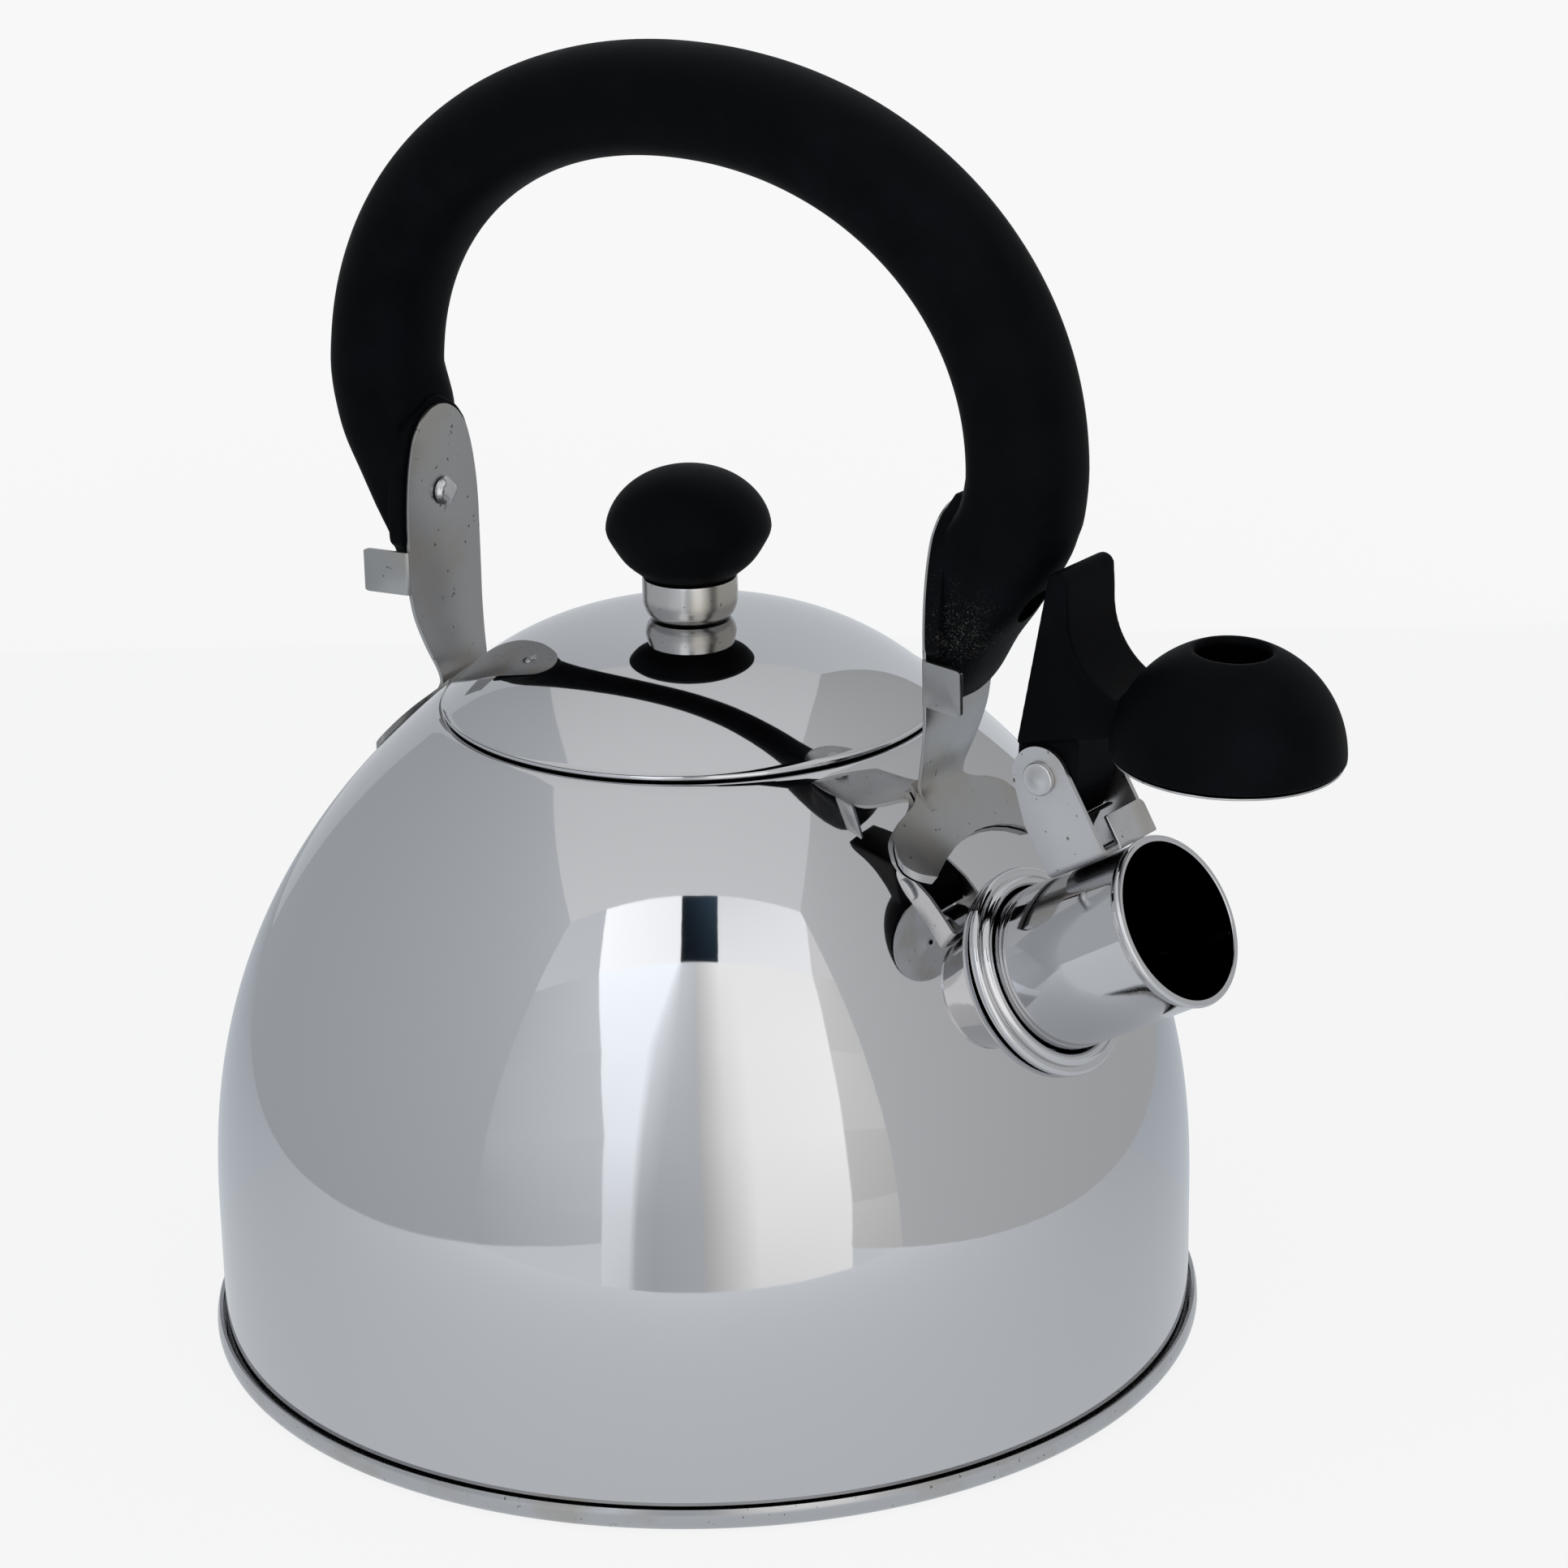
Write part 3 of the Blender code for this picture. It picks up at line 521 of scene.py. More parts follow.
def outward(mesh: bpy.types.Mesh) -> bpy.types.Mesh:
    """Recalculates the normals of a closed mesh."""
    shape = bmesh.new()
    shape.from_mesh(mesh)
    joined(shape).to_mesh(mesh)
    shape.free()
    return mesh


def combined(base: bpy.types.Mesh, steps: Iterable[tuple[str, bpy.types.Mesh]]) -> bpy.types.Mesh:
    """Joins or cuts closed meshes.

    Args:
        base: The mesh to start from.
        steps: Pairs of UNION, DIFFERENCE or INTERSECT and the other mesh.

    Returns:
        The result as a plain mesh.
    """
    made = object_of(base, "base")
    others = []
    for operation, mesh in steps:
        other = object_of(mesh, "other")
        other.hide_render = True
        others.append(other)
        step = made.modifiers.new("step", "BOOLEAN")
        step.operation, step.object, step.solver = operation, other, "EXACT"
    mesh = settled(made)
    for other in others:
        bpy.data.objects.remove(other, do_unlink=True)
    return mesh


def bevelled(mesh: bpy.types.Mesh, width: float, segments: int = 3) -> bpy.types.Mesh:
    """Rounds the mesh's sharp edges."""
    made = object_of(mesh, "blank")
    add_bevel(made, width, segments)
    return settled(made)


def add_bevel(made: bpy.types.Object, width: float, segments: int = 3) -> None:
    """Adds a Bevel for edges sharper than 40 degrees."""
    edge = made.modifiers.new("Eased edges", "BEVEL")
    edge.width, edge.segments = width * MM, segments
    edge.limit_method, edge.angle_limit = "ANGLE", math.radians(40)


def piece(
    name: str,
    mesh: bpy.types.Mesh,
    finish: Any,
    body: str,
    nodes: Sequence[str],
    smooth: float = 35.0,
) -> bpy.types.Object:
    """Makes a finished piece that rides on a body and stands for CAD nodes.

    Args:
        name: Name of the piece.
        mesh: Its mesh, in place.
        finish: Its finish.
        body: Body it moves with.
        nodes: CAD nodes it stands for.
        smooth: Edges sharper than this angle, in degrees, stay sharp.

    Returns:
        The piece.
    """
    mesh.shade_smooth()
    mesh.set_sharp_from_angle(angle=math.radians(smooth))
    if not mesh.materials:
        mesh.materials.append(None)
    mesh.materials[0] = finish.material()
    made = object_of(mesh, name)
    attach(made, body)
    if nodes:
        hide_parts(*nodes)
    log.info("%s: %d faces, %s", name, len(mesh.polygons), finish.name)
    return made


def dress(node: str, finish: Any) -> None:
    """Gives a CAD node that stays as it is a better material."""
    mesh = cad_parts[node].data
    mesh.materials.clear()
    mesh.materials.append(finish.material())
    log.info("%s: kept, %s", node, finish.name)


# ---- Geometry Nodes ---------------------------------------------------------------------------


def open_tree(name: str, sockets: Sequence[tuple[str, str]]) -> tuple[bpy.types.NodeTree, Any]:
    """Starts a Geometry Nodes tree.

    Args:
        name: Name of the tree.
        sockets: Name and socket type of each input.

    Returns:
        The tree and its input node.
    """
    tree = bpy.data.node_groups.new(name, "GeometryNodeTree")
    for label, kind in sockets:
        tree.interface.new_socket(label, in_out="INPUT", socket_type=kind)
    tree.interface.new_socket("Geometry", in_out="OUTPUT", socket_type="NodeSocketGeometry")
    return tree, add_node(tree, "NodeGroupInput")


def close_tree(tree: bpy.types.NodeTree, geometry: Any, material: Any) -> bpy.types.NodeTree:
    """Ends a tree with merged seams, real geometry and its material.

    Args:
        tree: The tree.
        geometry: Output socket that holds the shape.
        material: Output socket that holds the material.

    Returns:
        The same tree.
    """
    merged = add_node(tree, "GeometryNodeMergeByDistance", {"Geometry": geometry, "Distance": 1e-6})
    real = add_node(tree, "GeometryNodeRealizeInstances", {0: merged.outputs[0]})
    painted = add_node(tree, "GeometryNodeSetMaterial", {0: real.outputs[0], "Material": material})
    add_node(tree, "NodeGroupOutput", {0: painted.outputs[0]})
    return tree


def number(tree: bpy.types.NodeTree, operation: str, *values: Any) -> Any:
    """One arithmetic step in a tree, as its output socket."""
    return add_node(tree, "ShaderNodeMath", dict(enumerate(values)), operation=operation).outputs[0]


def run_tree(
    base: bpy.types.Mesh, tree: bpy.types.NodeTree, values: dict[str, Any]
) -> bpy.types.Mesh:
    """Runs a tree on a mesh.

    Args:
        base: Mesh that goes in.
        tree: The tree.
        values: Input name to value.

    Returns:
        The plain mesh that comes out, with its faces outwards.
    """
    made = object_of(base, "blank")
    step = made.modifiers.new("Shape", "NODES")
    step.node_group = tree
    for item in tree.interface.items_tree:
        if item.in_out == "INPUT" and item.name in values:
            step[item.identifier] = values[item.name]
    return outward(settled(made))


@functools.cache
def turning_tree() -> bpy.types.NodeTree:
    """Builds the lathe: a closed profile's points are sampled round an axis."""
    tree, given = open_tree(
        "Turned on a lathe",
        [
            ("Profile", "NodeSocketGeometry"),
            ("Segments", "NodeSocketInt"),
            ("Axis", "NodeSocketVector"),
            ("Material", "NodeSocketMaterial"),
        ],
    )
    profile, segments, axis, material = (given.outputs[i] for i in range(4))
    count = add_node(tree, "GeometryNodeAttributeDomainSize", {0: profile}).outputs["Point Count"]
    row = number(tree, "ADD", count, 1.0)
    grid = add_node(
        tree, "GeometryNodeMeshGrid", {"Vertices X": number(tree, "ADD", segments, 1.0), "Vertices Y": row}
    )
    index = add_node(tree, "GeometryNodeInputIndex").outputs[0]
    column = number(tree, "FLOOR", number(tree, "DIVIDE", index, row))
    around = number(tree, "FLOORED_MODULO", column, segments)
    along = number(tree, "FLOORED_MODULO", number(tree, "FLOORED_MODULO", index, row), count)
    point = add_node(tree, "GeometryNodeInputPosition").outputs[0]
    sampled = add_node(
        tree,
        "GeometryNodeSampleIndex",
        {"Geometry": profile, "Value": point, "Index": along},
        data_type="FLOAT_VECTOR",
    )
    angle = number(tree, "MULTIPLY", number(tree, "DIVIDE", around, segments), math.tau)
    turned_point = add_node(
        tree,
        "ShaderNodeVectorRotate",
        {"Vector": sampled.outputs[0], "Axis": axis, "Angle": angle},
        rotation_type="AXIS_ANGLE",
    )
    placed = add_node(
        tree, "GeometryNodeSetPosition", {0: grid.outputs[0], "Position": turned_point.outputs[0]}
    )
    return close_tree(tree, placed.outputs[0], material)


def turned(outline: Sequence[Point], segments: int, along: Axis, finish: Any) -> bpy.types.Mesh:
    """A solid of revolution.

    Args:
        outline: Closed outline as (radius, distance along the axis).
        segments: Steps round the axis.
        along: The axis, X or Z.
        finish: Finish of the piece.

    Returns:
        A closed mesh.
    """
    corners = [
        Vector((radius, 0, far) if along is Axis.Z else (far, 0, radius)) * MM for radius, far in outline
    ]
    profile = bpy.data.meshes.new("profile")
    profile.from_pydata(corners, [(i, (i + 1) % len(corners)) for i in range(len(corners))], [])
    values = {"Segments": segments, "Axis": along.value, "Material": finish.material()}
    return run_tree(profile, turning_tree(), values)


@functools.cache
def sweeping_tree() -> bpy.types.NodeTree:
    """Builds the sweep: each station on a path carries the size and squareness of its section."""
    tree, given = open_tree(
        "Swept along a path",
        [
            ("Stations", "NodeSocketGeometry"),
            ("Around", "NodeSocketInt"),
            ("Outer power", "NodeSocketFloat"),
            ("Material", "NodeSocketMaterial"),
        ],
    )
    stations, around, outer_power, material = (given.outputs[i] for i in range(4))
    count = add_node(tree, "GeometryNodeAttributeDomainSize", {0: stations}).outputs["Point Count"]
    row = number(tree, "ADD", around, 1.0)
    grid = add_node(tree, "GeometryNodeMeshGrid", {"Vertices X": count, "Vertices Y": row})
    index = add_node(tree, "GeometryNodeInputIndex").outputs[0]
    station = number(tree, "FLOOR", number(tree, "DIVIDE", index, row))
    step = number(tree, "FLOORED_MODULO", number(tree, "FLOORED_MODULO", index, row), around)
    angle = number(tree, "MULTIPLY", number(tree, "DIVIDE", step, around), math.tau)
    sampled = {}
    for label, kind in (("place", "FLOAT_VECTOR"), ("inward", "FLOAT_VECTOR"), ("size", "FLOAT_VECTOR")):
        if label == "place":
            source = add_node(tree, "GeometryNodeInputPosition").outputs[0]
        else:
            source = add_node(
                tree, "GeometryNodeInputNamedAttribute", {"Name": label}, data_type=kind
            ).outputs["Attribute"]
        sampled[label] = add_node(
            tree,
            "GeometryNodeSampleIndex",
            {"Geometry": stations, "Value": source, "Index": station},
            data_type=kind,
        ).outputs[0]
    size = add_node(tree, "ShaderNodeSeparateXYZ", {0: sampled["size"]})
    radial, side, inner_power = size.outputs
    towards, across = number(tree, "COSINE", angle), number(tree, "SINE", angle)
    inner = number(tree, "GREATER_THAN", towards, 0.0)
    extra = number(tree, "MULTIPLY", number(tree, "SUBTRACT", inner_power, outer_power), inner)
    power = number(tree, "ADD", outer_power, extra)
    first = number(tree, "POWER", number(tree, "ABSOLUTE", towards), power)
    second = number(tree, "POWER", number(tree, "ABSOLUTE", across), power)
    reach = number(tree, "POWER", number(tree, "ADD", first, second), number(tree, "DIVIDE", -1.0, power))
    inward_reach = number(tree, "MULTIPLY", number(tree, "MULTIPLY", towards, reach), radial)
    side_reach = number(tree, "MULTIPLY", number(tree, "MULTIPLY", across, reach), side)
    inwards = add_node(
        tree, "ShaderNodeVectorMath", {0: sampled["inward"], "Scale": inward_reach}, operation="SCALE"
    ).outputs[0]
    sidewards = add_node(tree, "ShaderNodeCombineXYZ", {"Y": side_reach}).outputs[0]
    offset = add_node(tree, "ShaderNodeVectorMath", {0: inwards, 1: sidewards}, operation="ADD").outputs[0]
    place = add_node(
        tree, "ShaderNodeVectorMath", {0: sampled["place"], 1: offset}, operation="ADD"
    ).outputs[0]
    placed = add_node(tree, "GeometryNodeSetPosition", {0: grid.outputs[0], "Position": place})
    return close_tree(tree, placed.outputs[0], material)


@functools.cache
def repeating_tree() -> bpy.types.NodeTree:
    """Builds the repeat: one shape is set on every point, turned by that point's own angles."""
    tree, given = open_tree(
        "Set on points",
        [
            ("Points", "NodeSocketGeometry"),
            ("Shape", "NodeSocketObject"),
            ("Material", "NodeSocketMaterial"),
        ],
    )
    points, shape, material = (given.outputs[i] for i in range(3))
    source = add_node(tree, "GeometryNodeObjectInfo", {0: shape}).outputs["Geometry"]
    turn = add_node(
        tree, "GeometryNodeInputNamedAttribute", {"Name": "turn"}, data_type="FLOAT_VECTOR"
    ).outputs["Attribute"]
    copies = add_node(
        tree, "GeometryNodeInstanceOnPoints", {"Points": points, "Instance": source, "Rotation": turn}
    )
    real = add_node(tree, "GeometryNodeRealizeInstances", {0: copies.outputs[0]})
    painted = add_node(tree, "GeometryNodeSetMaterial", {0: real.outputs[0], "Material": material})
    add_node(tree, "NodeGroupOutput", {0: painted.outputs[0]})
    return tree


def repeated(
    shape: bpy.types.Mesh, places: Sequence[tuple[Vector, tuple[float, float, float]]], finish: Any
) -> bpy.types.Mesh:
    """Sets copies of a shape at places.

    Args:
        shape: Mesh of one copy, made about the origin.
        places: Where each goes, and its turn about X, Y and Z in radians.
        finish: Finish of the copies.

    Returns:
        One mesh that holds every copy.
    """
    points = bpy.data.meshes.new("points")
    points.from_pydata([place * MM for place, _ in places], [], [])
    turns = points.attributes.new("turn", "FLOAT_VECTOR", "POINT")
    for index, (_, turn) in enumerate(places):
        turns.data[index].vector = turn
    source = object_of(shape, "one")
    source.hide_render = True
    mesh = run_tree(points, repeating_tree(), {"Shape": source, "Material": finish.material()})
    bpy.data.objects.remove(source, do_unlink=True)
    return mesh


# ---- Body -------------------------------------------------------------------------------------


@dataclass
class KettleBody:
    """Drawn body with its ledge and neck, and the base pan rolled up round its foot."""

    radius: float = 94.0
    wall_top: float = 26.2
    apex: float = 148.5
    side_power: float = 1.326
    rise_power: float = 2.316
    bottom: float = 1.0
    ledge: float = 123.55
    neck_radius: float = 44.3
    neck_bottom: float = 119.5
    rim_radius: float = 95.8
    rim_height: float = 4.4
    pan_sheet: float = 0.7

    def dome_radius(self, height: float) -> float:
        """Outer radius of the body at a height: a straight wall, then a superellipse."""
        if height <= self.wall_top:
            return self.radius
        rise = (height - self.wall_top) / (self.apex - self.wall_top)
        return self.radius * math.cos(math.asin(rise ** (self.rise_power / 2))) ** (2 / self.side_power)

    def dome_path(self, low: float, high: float, steps: int) -> Outline:
        """The body's outer face between two heights, as (radius, height), going up."""
        heights = (low + (high - low) * i / steps for i in range(steps + 1))
        return [(self.dome_radius(height), height) for height in heights]

    def shell(self, spout: "Spout") -> bpy.types.Mesh:
        """Makes the drawn shell, holed for the spout.

        Args:
            spout: The spout that the hole is for.

        Returns:
            A closed mesh.
        """
        path = self.dome_path(self.bottom, self.wall_top, 8)
        path += self.dome_path(self.wall_top, self.ledge - 0.5, 110)[1:]
        ledge = [(48.25, -0.28), (47.6, 0.0), (46.2, 0.12), (45.3, 0.05)]
        path += eased([(radius, self.ledge + lift) for radius, lift in ledge], 4)
        path += arc((self.neck_radius + 0.9, self.ledge - 0.95), 0.9, 90, 180, 6)
        path += [(self.neck_radius, self.neck_bottom)]
        blank = turned(sheet(path, SHEET), FINE, Axis.Z, BODY_STEEL)
        root = spout.root(self)
        hole = mesh_of(round_bar(spout.outer + 2 * GAP, -root - 8, -root + 8, (0, 0), Axis.X), "hole")
        hole.transform(spout.frame())
        return combined(blank, [("DIFFERENCE", hole)])

    def pan(self) -> bpy.types.Mesh:
        """Makes the base pan with its rolled rim."""
        path = [(0, 0), (40, 0), (80, 0)] + arc((self.rim_radius - 2.2, 2.2), 2.2, -90, 0, 12)
        lip = [(0.05, 3.0), (0.2, 3.7), (0.5, self.rim_height)]
        path += [(self.rim_radius - inward, height) for inward, height in lip]
        return turned(sheet(path, self.pan_sheet), FINE, Axis.Z, RIM_STEEL)

    def build(self, spout: "Spout") -> None:
        """Builds and dresses both pieces."""
        piece("kettle_body_shell", self.shell(spout), BODY_STEEL, "kettle_body", ["body_shell"])
        piece("kettle_base_pan", self.pan(), RIM_STEEL, "kettle_body", ["base_pan"])


# ---- Spout ------------------------------------------------------------------------------------


@dataclass
class Spout:
    """Straight tube with a rolled lip, and the two-bead collar that seams it to the body."""

    mouth: Vector = field(default_factory=lambda: Vector((107.1, 0.0, 102.4)))
    tilt: float = 30.0
    outer: float = 15.4
    bore: float = 14.6
    lip: float = 15.95
    collar: float = 19.7

    def frame(self) -> Matrix:
        """Place of the spout: X runs out along the tube from its mouth, in metres."""
        return Matrix.Translation(self.mouth * MM) @ Matrix.Rotation(math.radians(-self.tilt), 4, "Y")

    def root(self, body: KettleBody) -> float:
        """Distance from the mouth back along the tube to the body's outer face."""
        tilt = math.radians(self.tilt)
        near, far = 10.0, 50.0
        for _ in range(40):
            middle = (near + far) / 2
            radius = self.mouth.x - middle * math.cos(tilt)
            outside = radius > body.dome_radius(self.mouth.z - middle * math.sin(tilt))
            near, far = (middle, far) if outside else (near, middle)
        return near

    def tube(self, body: KettleBody) -> bpy.types.Mesh:
        """Makes the tube, with its bore coloured near-black as painted shade.

        Args:
            body: The body it stands on.

        Returns:
            A closed mesh with two materials.
        """
        back = -self.root(body) - 4.5
        outline = [(self.bore, back + 0.4), (self.outer, back), (self.outer, -20.0), (self.outer, -2.4)]
        outline += eased([(self.outer + 0.02, -2.2), (self.lip - 0.25, -1.55)], 2)
        outline += arc((self.lip - 0.75, -0.8), 0.75, -30, 90, 10)
        outline += arc((self.bore + 0.35, -0.35), 0.35, 90, 180, 4) + [(self.bore, -1.2), (self.bore, -12.0)]
        mesh = turned(outline, MEDIUM, Axis.X, SPOUT_STEEL)
        # The bore past the rolled lip takes the near-black painted shade in place of mirrored steel.
        mesh.materials.append(BORE_PAINTED_SHADE.material())
        for face in mesh.polygons:
            middle = sum((mesh.vertices[i].co for i in face.vertices), Vector()) / len(face.vertices)
            inside = math.hypot(middle.y, middle.z) < (self.bore + 0.05) * MM
            face.material_index = int(inside and middle.x < -0.8 * MM)
        mesh.transform(self.frame())
        return mesh

    def ring(self, body: KettleBody) -> bpy.types.Mesh:
        """Makes the collar: an inner and an outer bead, its underside along the dome."""
        root = -self.root(body)
        under = [(radius, root - radius**2 / 204 + 0.9) for radius in (15.8, 16.6, 17.4, 18.2, 19.0)]
        outer_bead = arc((self.collar - 1.15, root - 0.5), 1.15, -60, 120, 14)
        inner_bead = arc((16.6, root + 0.55), 0.8, 20, 178, 10)
        mesh = turned(under + outer_bead + inner_bead, MEDIUM, Axis.X, SPOUT_STEEL)
        mesh.transform(self.frame())
        return mesh

    def build(self, body: KettleBody) -> None:
        """Builds and dresses both pieces."""
        piece("spout_mouth_tube", self.tube(body), SPOUT_STEEL, "kettle_body", ["spout_tube"])
        piece("spout_seam_collar", self.ring(body), SPOUT_STEEL, "kettle_body", ["spout_collar"])


# ---- Lever hinge ------------------------------------------------------------------------------


@dataclass
class LeverHinge:
    """Folded bracket on the spout with its stop tab, and the rivet through both ears."""

    back: float = -8.8  # pivot, back along the tube from its mouth
    up: float = 33.0  # pivot, square to the tube's axis
    outer: float = 8.15
    thick: float = 0.9
    end_radius: float = 5.8
    foot_back: float = -16.3
    foot_front: float = -3.0
    plate: float = 15.7
    tab_top: float = 22.2
    bend: float = 1.5
    rivet_radius: float = 1.6
    head_radius: float = 3.1

    def pivot(self, spout: Spout) -> Vector:
        """Place of the pivot in millimetres."""
        turn = Matrix.Rotation(math.radians(-spout.tilt), 3, "Y")
        return spout.mouth + turn @ Vector((self.back, 0, self.up))

    def channel(self) -> bmesh.types.BMesh:
        """Makes the folded channel: two walls and a floor with round bends."""
        low, high = self.plate, 42.0
        path = [(self.outer, high), (self.outer, low + self.bend)]
        path += arc((self.outer - self.bend, low + self.bend), self.bend, 0, -90, 8)[1:]
        path += arc((-self.outer + self.bend, low + self.bend), self.bend, -90, -180, 8)
        path += [(-self.outer, high)]
        inner = self.bend - self.thick
        path += [(-self.outer + self.thick, high)]
        path += arc((-self.outer + self.bend, low + self.bend), inner, 180, 270, 8)
        path += arc((self.outer - self.bend, low + self.bend), inner, -90, 0, 8)
        path += [(self.outer - self.thick, high)]
        return prism(path, self.foot_back - 4, self.foot_front + 4, Axis.X)

    def bracket(self, spout: Spout) -> bpy.types.Mesh:
        """Makes the bracket.

        Args:
            spout: The spout it stands on.

        Returns:
            A closed mesh.
        """
        end = arc((self.back, self.up), self.end_radius, -10, 175, 36)
        side = [(self.foot_back + 0.8, 10.0), (self.foot_front - 0.8, 10.0)]
        side += [(self.foot_front, self.plate + 0.9)] + end + [(self.foot_back, 26.5), (self.foot_back, 16.6)]
        blank = mesh_of(prism(side, -12, 12, Axis.Y), "ears")
        folded = combined(mesh_of(self.channel(), "channel"), [("INTERSECT", blank)])
        low = self.plate + 0.04
        tab = [(-3.7, low), (self.outer - 0.1, low), (self.outer - 0.1, self.tab_top - 1.4)]
        tab += arc((self.outer - 1.5, self.tab_top - 1.4), 1.4, 0, 90, 6)[1:]
        tab += arc((-3.3, self.tab_top - 0.4), 0.4, 90, 180, 3)
        front = self.foot_front - 0.1
        stop = bevelled(mesh_of(prism(tab, front, front + self.thick, Axis.X), "tab"), 0.2)
        bore = round_bar(self.rivet_radius + GAP, -12, 12, (self.back, self.up), Axis.Y)
        mesh = combined(folded, [("UNION", stop), ("DIFFERENCE", mesh_of(bore, "bore"))])
        mesh.transform(spout.frame())
        return mesh

    def rivet(self, spout: Spout) -> bpy.types.Mesh:
        """Makes the rivet, with a low domed head at the near side."""
        near = self.outer + GAP - 0.25
        outline = [(0, -near - 1.15), (1.0, -near - 1.1), (2.0, -near - 0.95)]
        outline += arc((self.head_radius - 0.55, -near - 0.5), 0.55, -60, 0, 5)
        outline += [(self.head_radius, -near), (self.rivet_radius, -near), (self.rivet_radius, near)]
        outline += [(2.5, near), (2.3, near + 0.8), (0, near + 1.0)]
        mesh = turned(outline, SMALL, Axis.Z, RIVET_STEEL)
        mesh.transform(Matrix.Rotation(math.radians(-90), 4, "X"))
        mesh.transform(Matrix.Translation(Vector((self.back, 0, self.up)) * MM))
        mesh.transform(spout.frame())
        return mesh

    def build(self, spout: Spout) -> None:
        """Builds and dresses the pieces."""
        nodes = ["lever_bracket"]
        made = piece(
            "lever_hinge_bracket", self.bracket(spout), HINGE_STEEL, "kettle_body", nodes
        )
        add_bevel(made, 0.15, 2)
        piece("lever_hinge_rivet", self.rivet(spout), RIVET_STEEL, "kettle_body", ["lever_rivet"])
        dress("detent_spring", SPRING_STEEL)


# ---- Whistle ----------------------------------------------------------------------------------


@dataclass
class Whistle:
    """Thumb lever moulded in one with the whistle's cap, and the holed discs in its underside."""

    lean: float = 2.5
    half_width: float = 8.2
    centre: float = 33.0
    face: float = 9.12
    radius: float = 20.6
    wall: float = 1.8
    hole: float = 6.5
    boss_radius: float = 6.6
    boss_flat: float = -8.4
    voxel: float = 0.42
    boss_bore: float = 1.9

    def frame(self, pivot: Vector) -> Matrix:
        """Place of the lever: origin on the pivot, Z along the cap's axis."""
        return Matrix.Translation(pivot * MM) @ Matrix.Rotation(math.radians(self.lean), 4, "Y")

    def on_cap(self, mesh: bpy.types.Mesh) -> bpy.types.Mesh:
        """Moves a mesh made on the Z axis to the cap's axis."""
        mesh.transform(Matrix.Translation((self.centre * MM, 0, 0)))
        return mesh

    def cap_outline(self) -> Outline:
        """Section of the hollow cap: an outer and an inner dome, open at the top and below."""
        rim = self.face + 0.85
        inner_radius = self.radius - self.wall
        outer_top = math.degrees(math.acos((self.hole + 0.4) / self.radius))
        inner_top = math.degrees(math.acos(self.hole / inner_radius))
        outer = arc((0, rim), self.radius, 0, outer_top, 40)
        return outer + arc((0, rim), inner_radius, inner_top, 0, 30)

    def side(self) -> Outline:
        """Side view of the thumb lever: straight back, round top, hollow front into the cap."""
        front = arc((18.3, 31.2), 14.2, 256, 182, 28)
        top = arc((1.6, 36.2), 2.1, 10, 150, 12)
        return [(-5.5, 4.9), (0.0, 6.8), (9.3, 9.3), (13.5, 10.4)] + front + top

    def lever(self, half_boss: float) -> bpy.types.Mesh:
        """Makes the lever and cap in one moulding, with soft corners.

        Args:
            half_boss: Half the width of the boss between the hinge's ears.

        Returns:
            A closed mesh in the lever's own frame.
        """
        web = bevelled(mesh_of(prism(self.side(), -self.half_width, self.half_width, Axis.Y), "web"), 1.1, 4)
        boss = [(-5.5, 6.0)] + arc((0, 0), self.boss_radius, 200, 240, 10)
        boss += [(-2.4, self.boss_flat), (4.4, self.boss_flat)] + arc((0, 0), self.boss_radius, 325, 350, 8)
        boss += [(6.6, 9.4), (0, 8.6)]
        hollow = [(0, 0)] + arc((0, self.face + 0.8), self.radius - 0.9, 0, 89.9, 30)
        bore = round_bar(self.boss_bore, -12, 12, (0, 0), Axis.Y)
        steps = [
            ("UNION", mesh_of(prism(boss, -half_boss, half_boss, Axis.Y), "boss")),
            ("DIFFERENCE", self.on_cap(turned(hollow, MEDIUM, Axis.Z, MOULDING))),
            ("UNION", self.on_cap(turned(self.cap_outline(), MEDIUM, Axis.Z, MOULDING))),
            ("DIFFERENCE", mesh_of(bore, "bore")),
        ]
        made = object_of(combined(web, steps), "blank")
        skin = made.modifiers.new("Even skin", "REMESH")
        skin.mode, skin.voxel_size = "VOXEL", self.voxel * MM
        soft = made.modifiers.new("Soft corners", "SMOOTH")
        soft.factor, soft.iterations = 0.5, 7
        return settled(made)



    def lower_disc(self) -> bpy.types.Mesh:
        """Makes the disc that closes the cap, with the whistle's hole and a small raised ring."""
        low = self.face
        outline = [(1.3, low), (2.2, low), (2.6, low - 0.18), (3.0, low), (self.radius - 0.9, low)]
        outline += arc((self.radius - 0.75, low + 0.25), 0.25, -90, 90, 6)
        flange = [(18.2, 0.5), (18.1, 3.2), (17.6, 3.2), (17.6, 0.5), (1.3, 0.5)]
        outline += [(radius, low + lift) for radius, lift in flange]
        return self.on_cap(turned(outline, MEDIUM, Axis.Z, DISC_STEEL))

    def build(self, hinge: LeverHinge, spout: Spout) -> None:
        """Builds and dresses the pieces."""
        place = self.frame(hinge.pivot(spout))
        lever = self.lever(hinge.outer - hinge.thick - GAP)
        lever.transform(place)
        piece("whistle_thumb_lever", lever, MOULDING, "whistle", ["whistle_lever"], smooth=60)
        disc = self.lower_disc()
        disc.transform(place)
        piece("whistle_face_disc", disc, DISC_STEEL, "whistle", ["whistle_lower_disc"])
        dress("whistle_upper_disc", DISC_STEEL)


# ---- Lid --------------------------------------------------------------------------------------


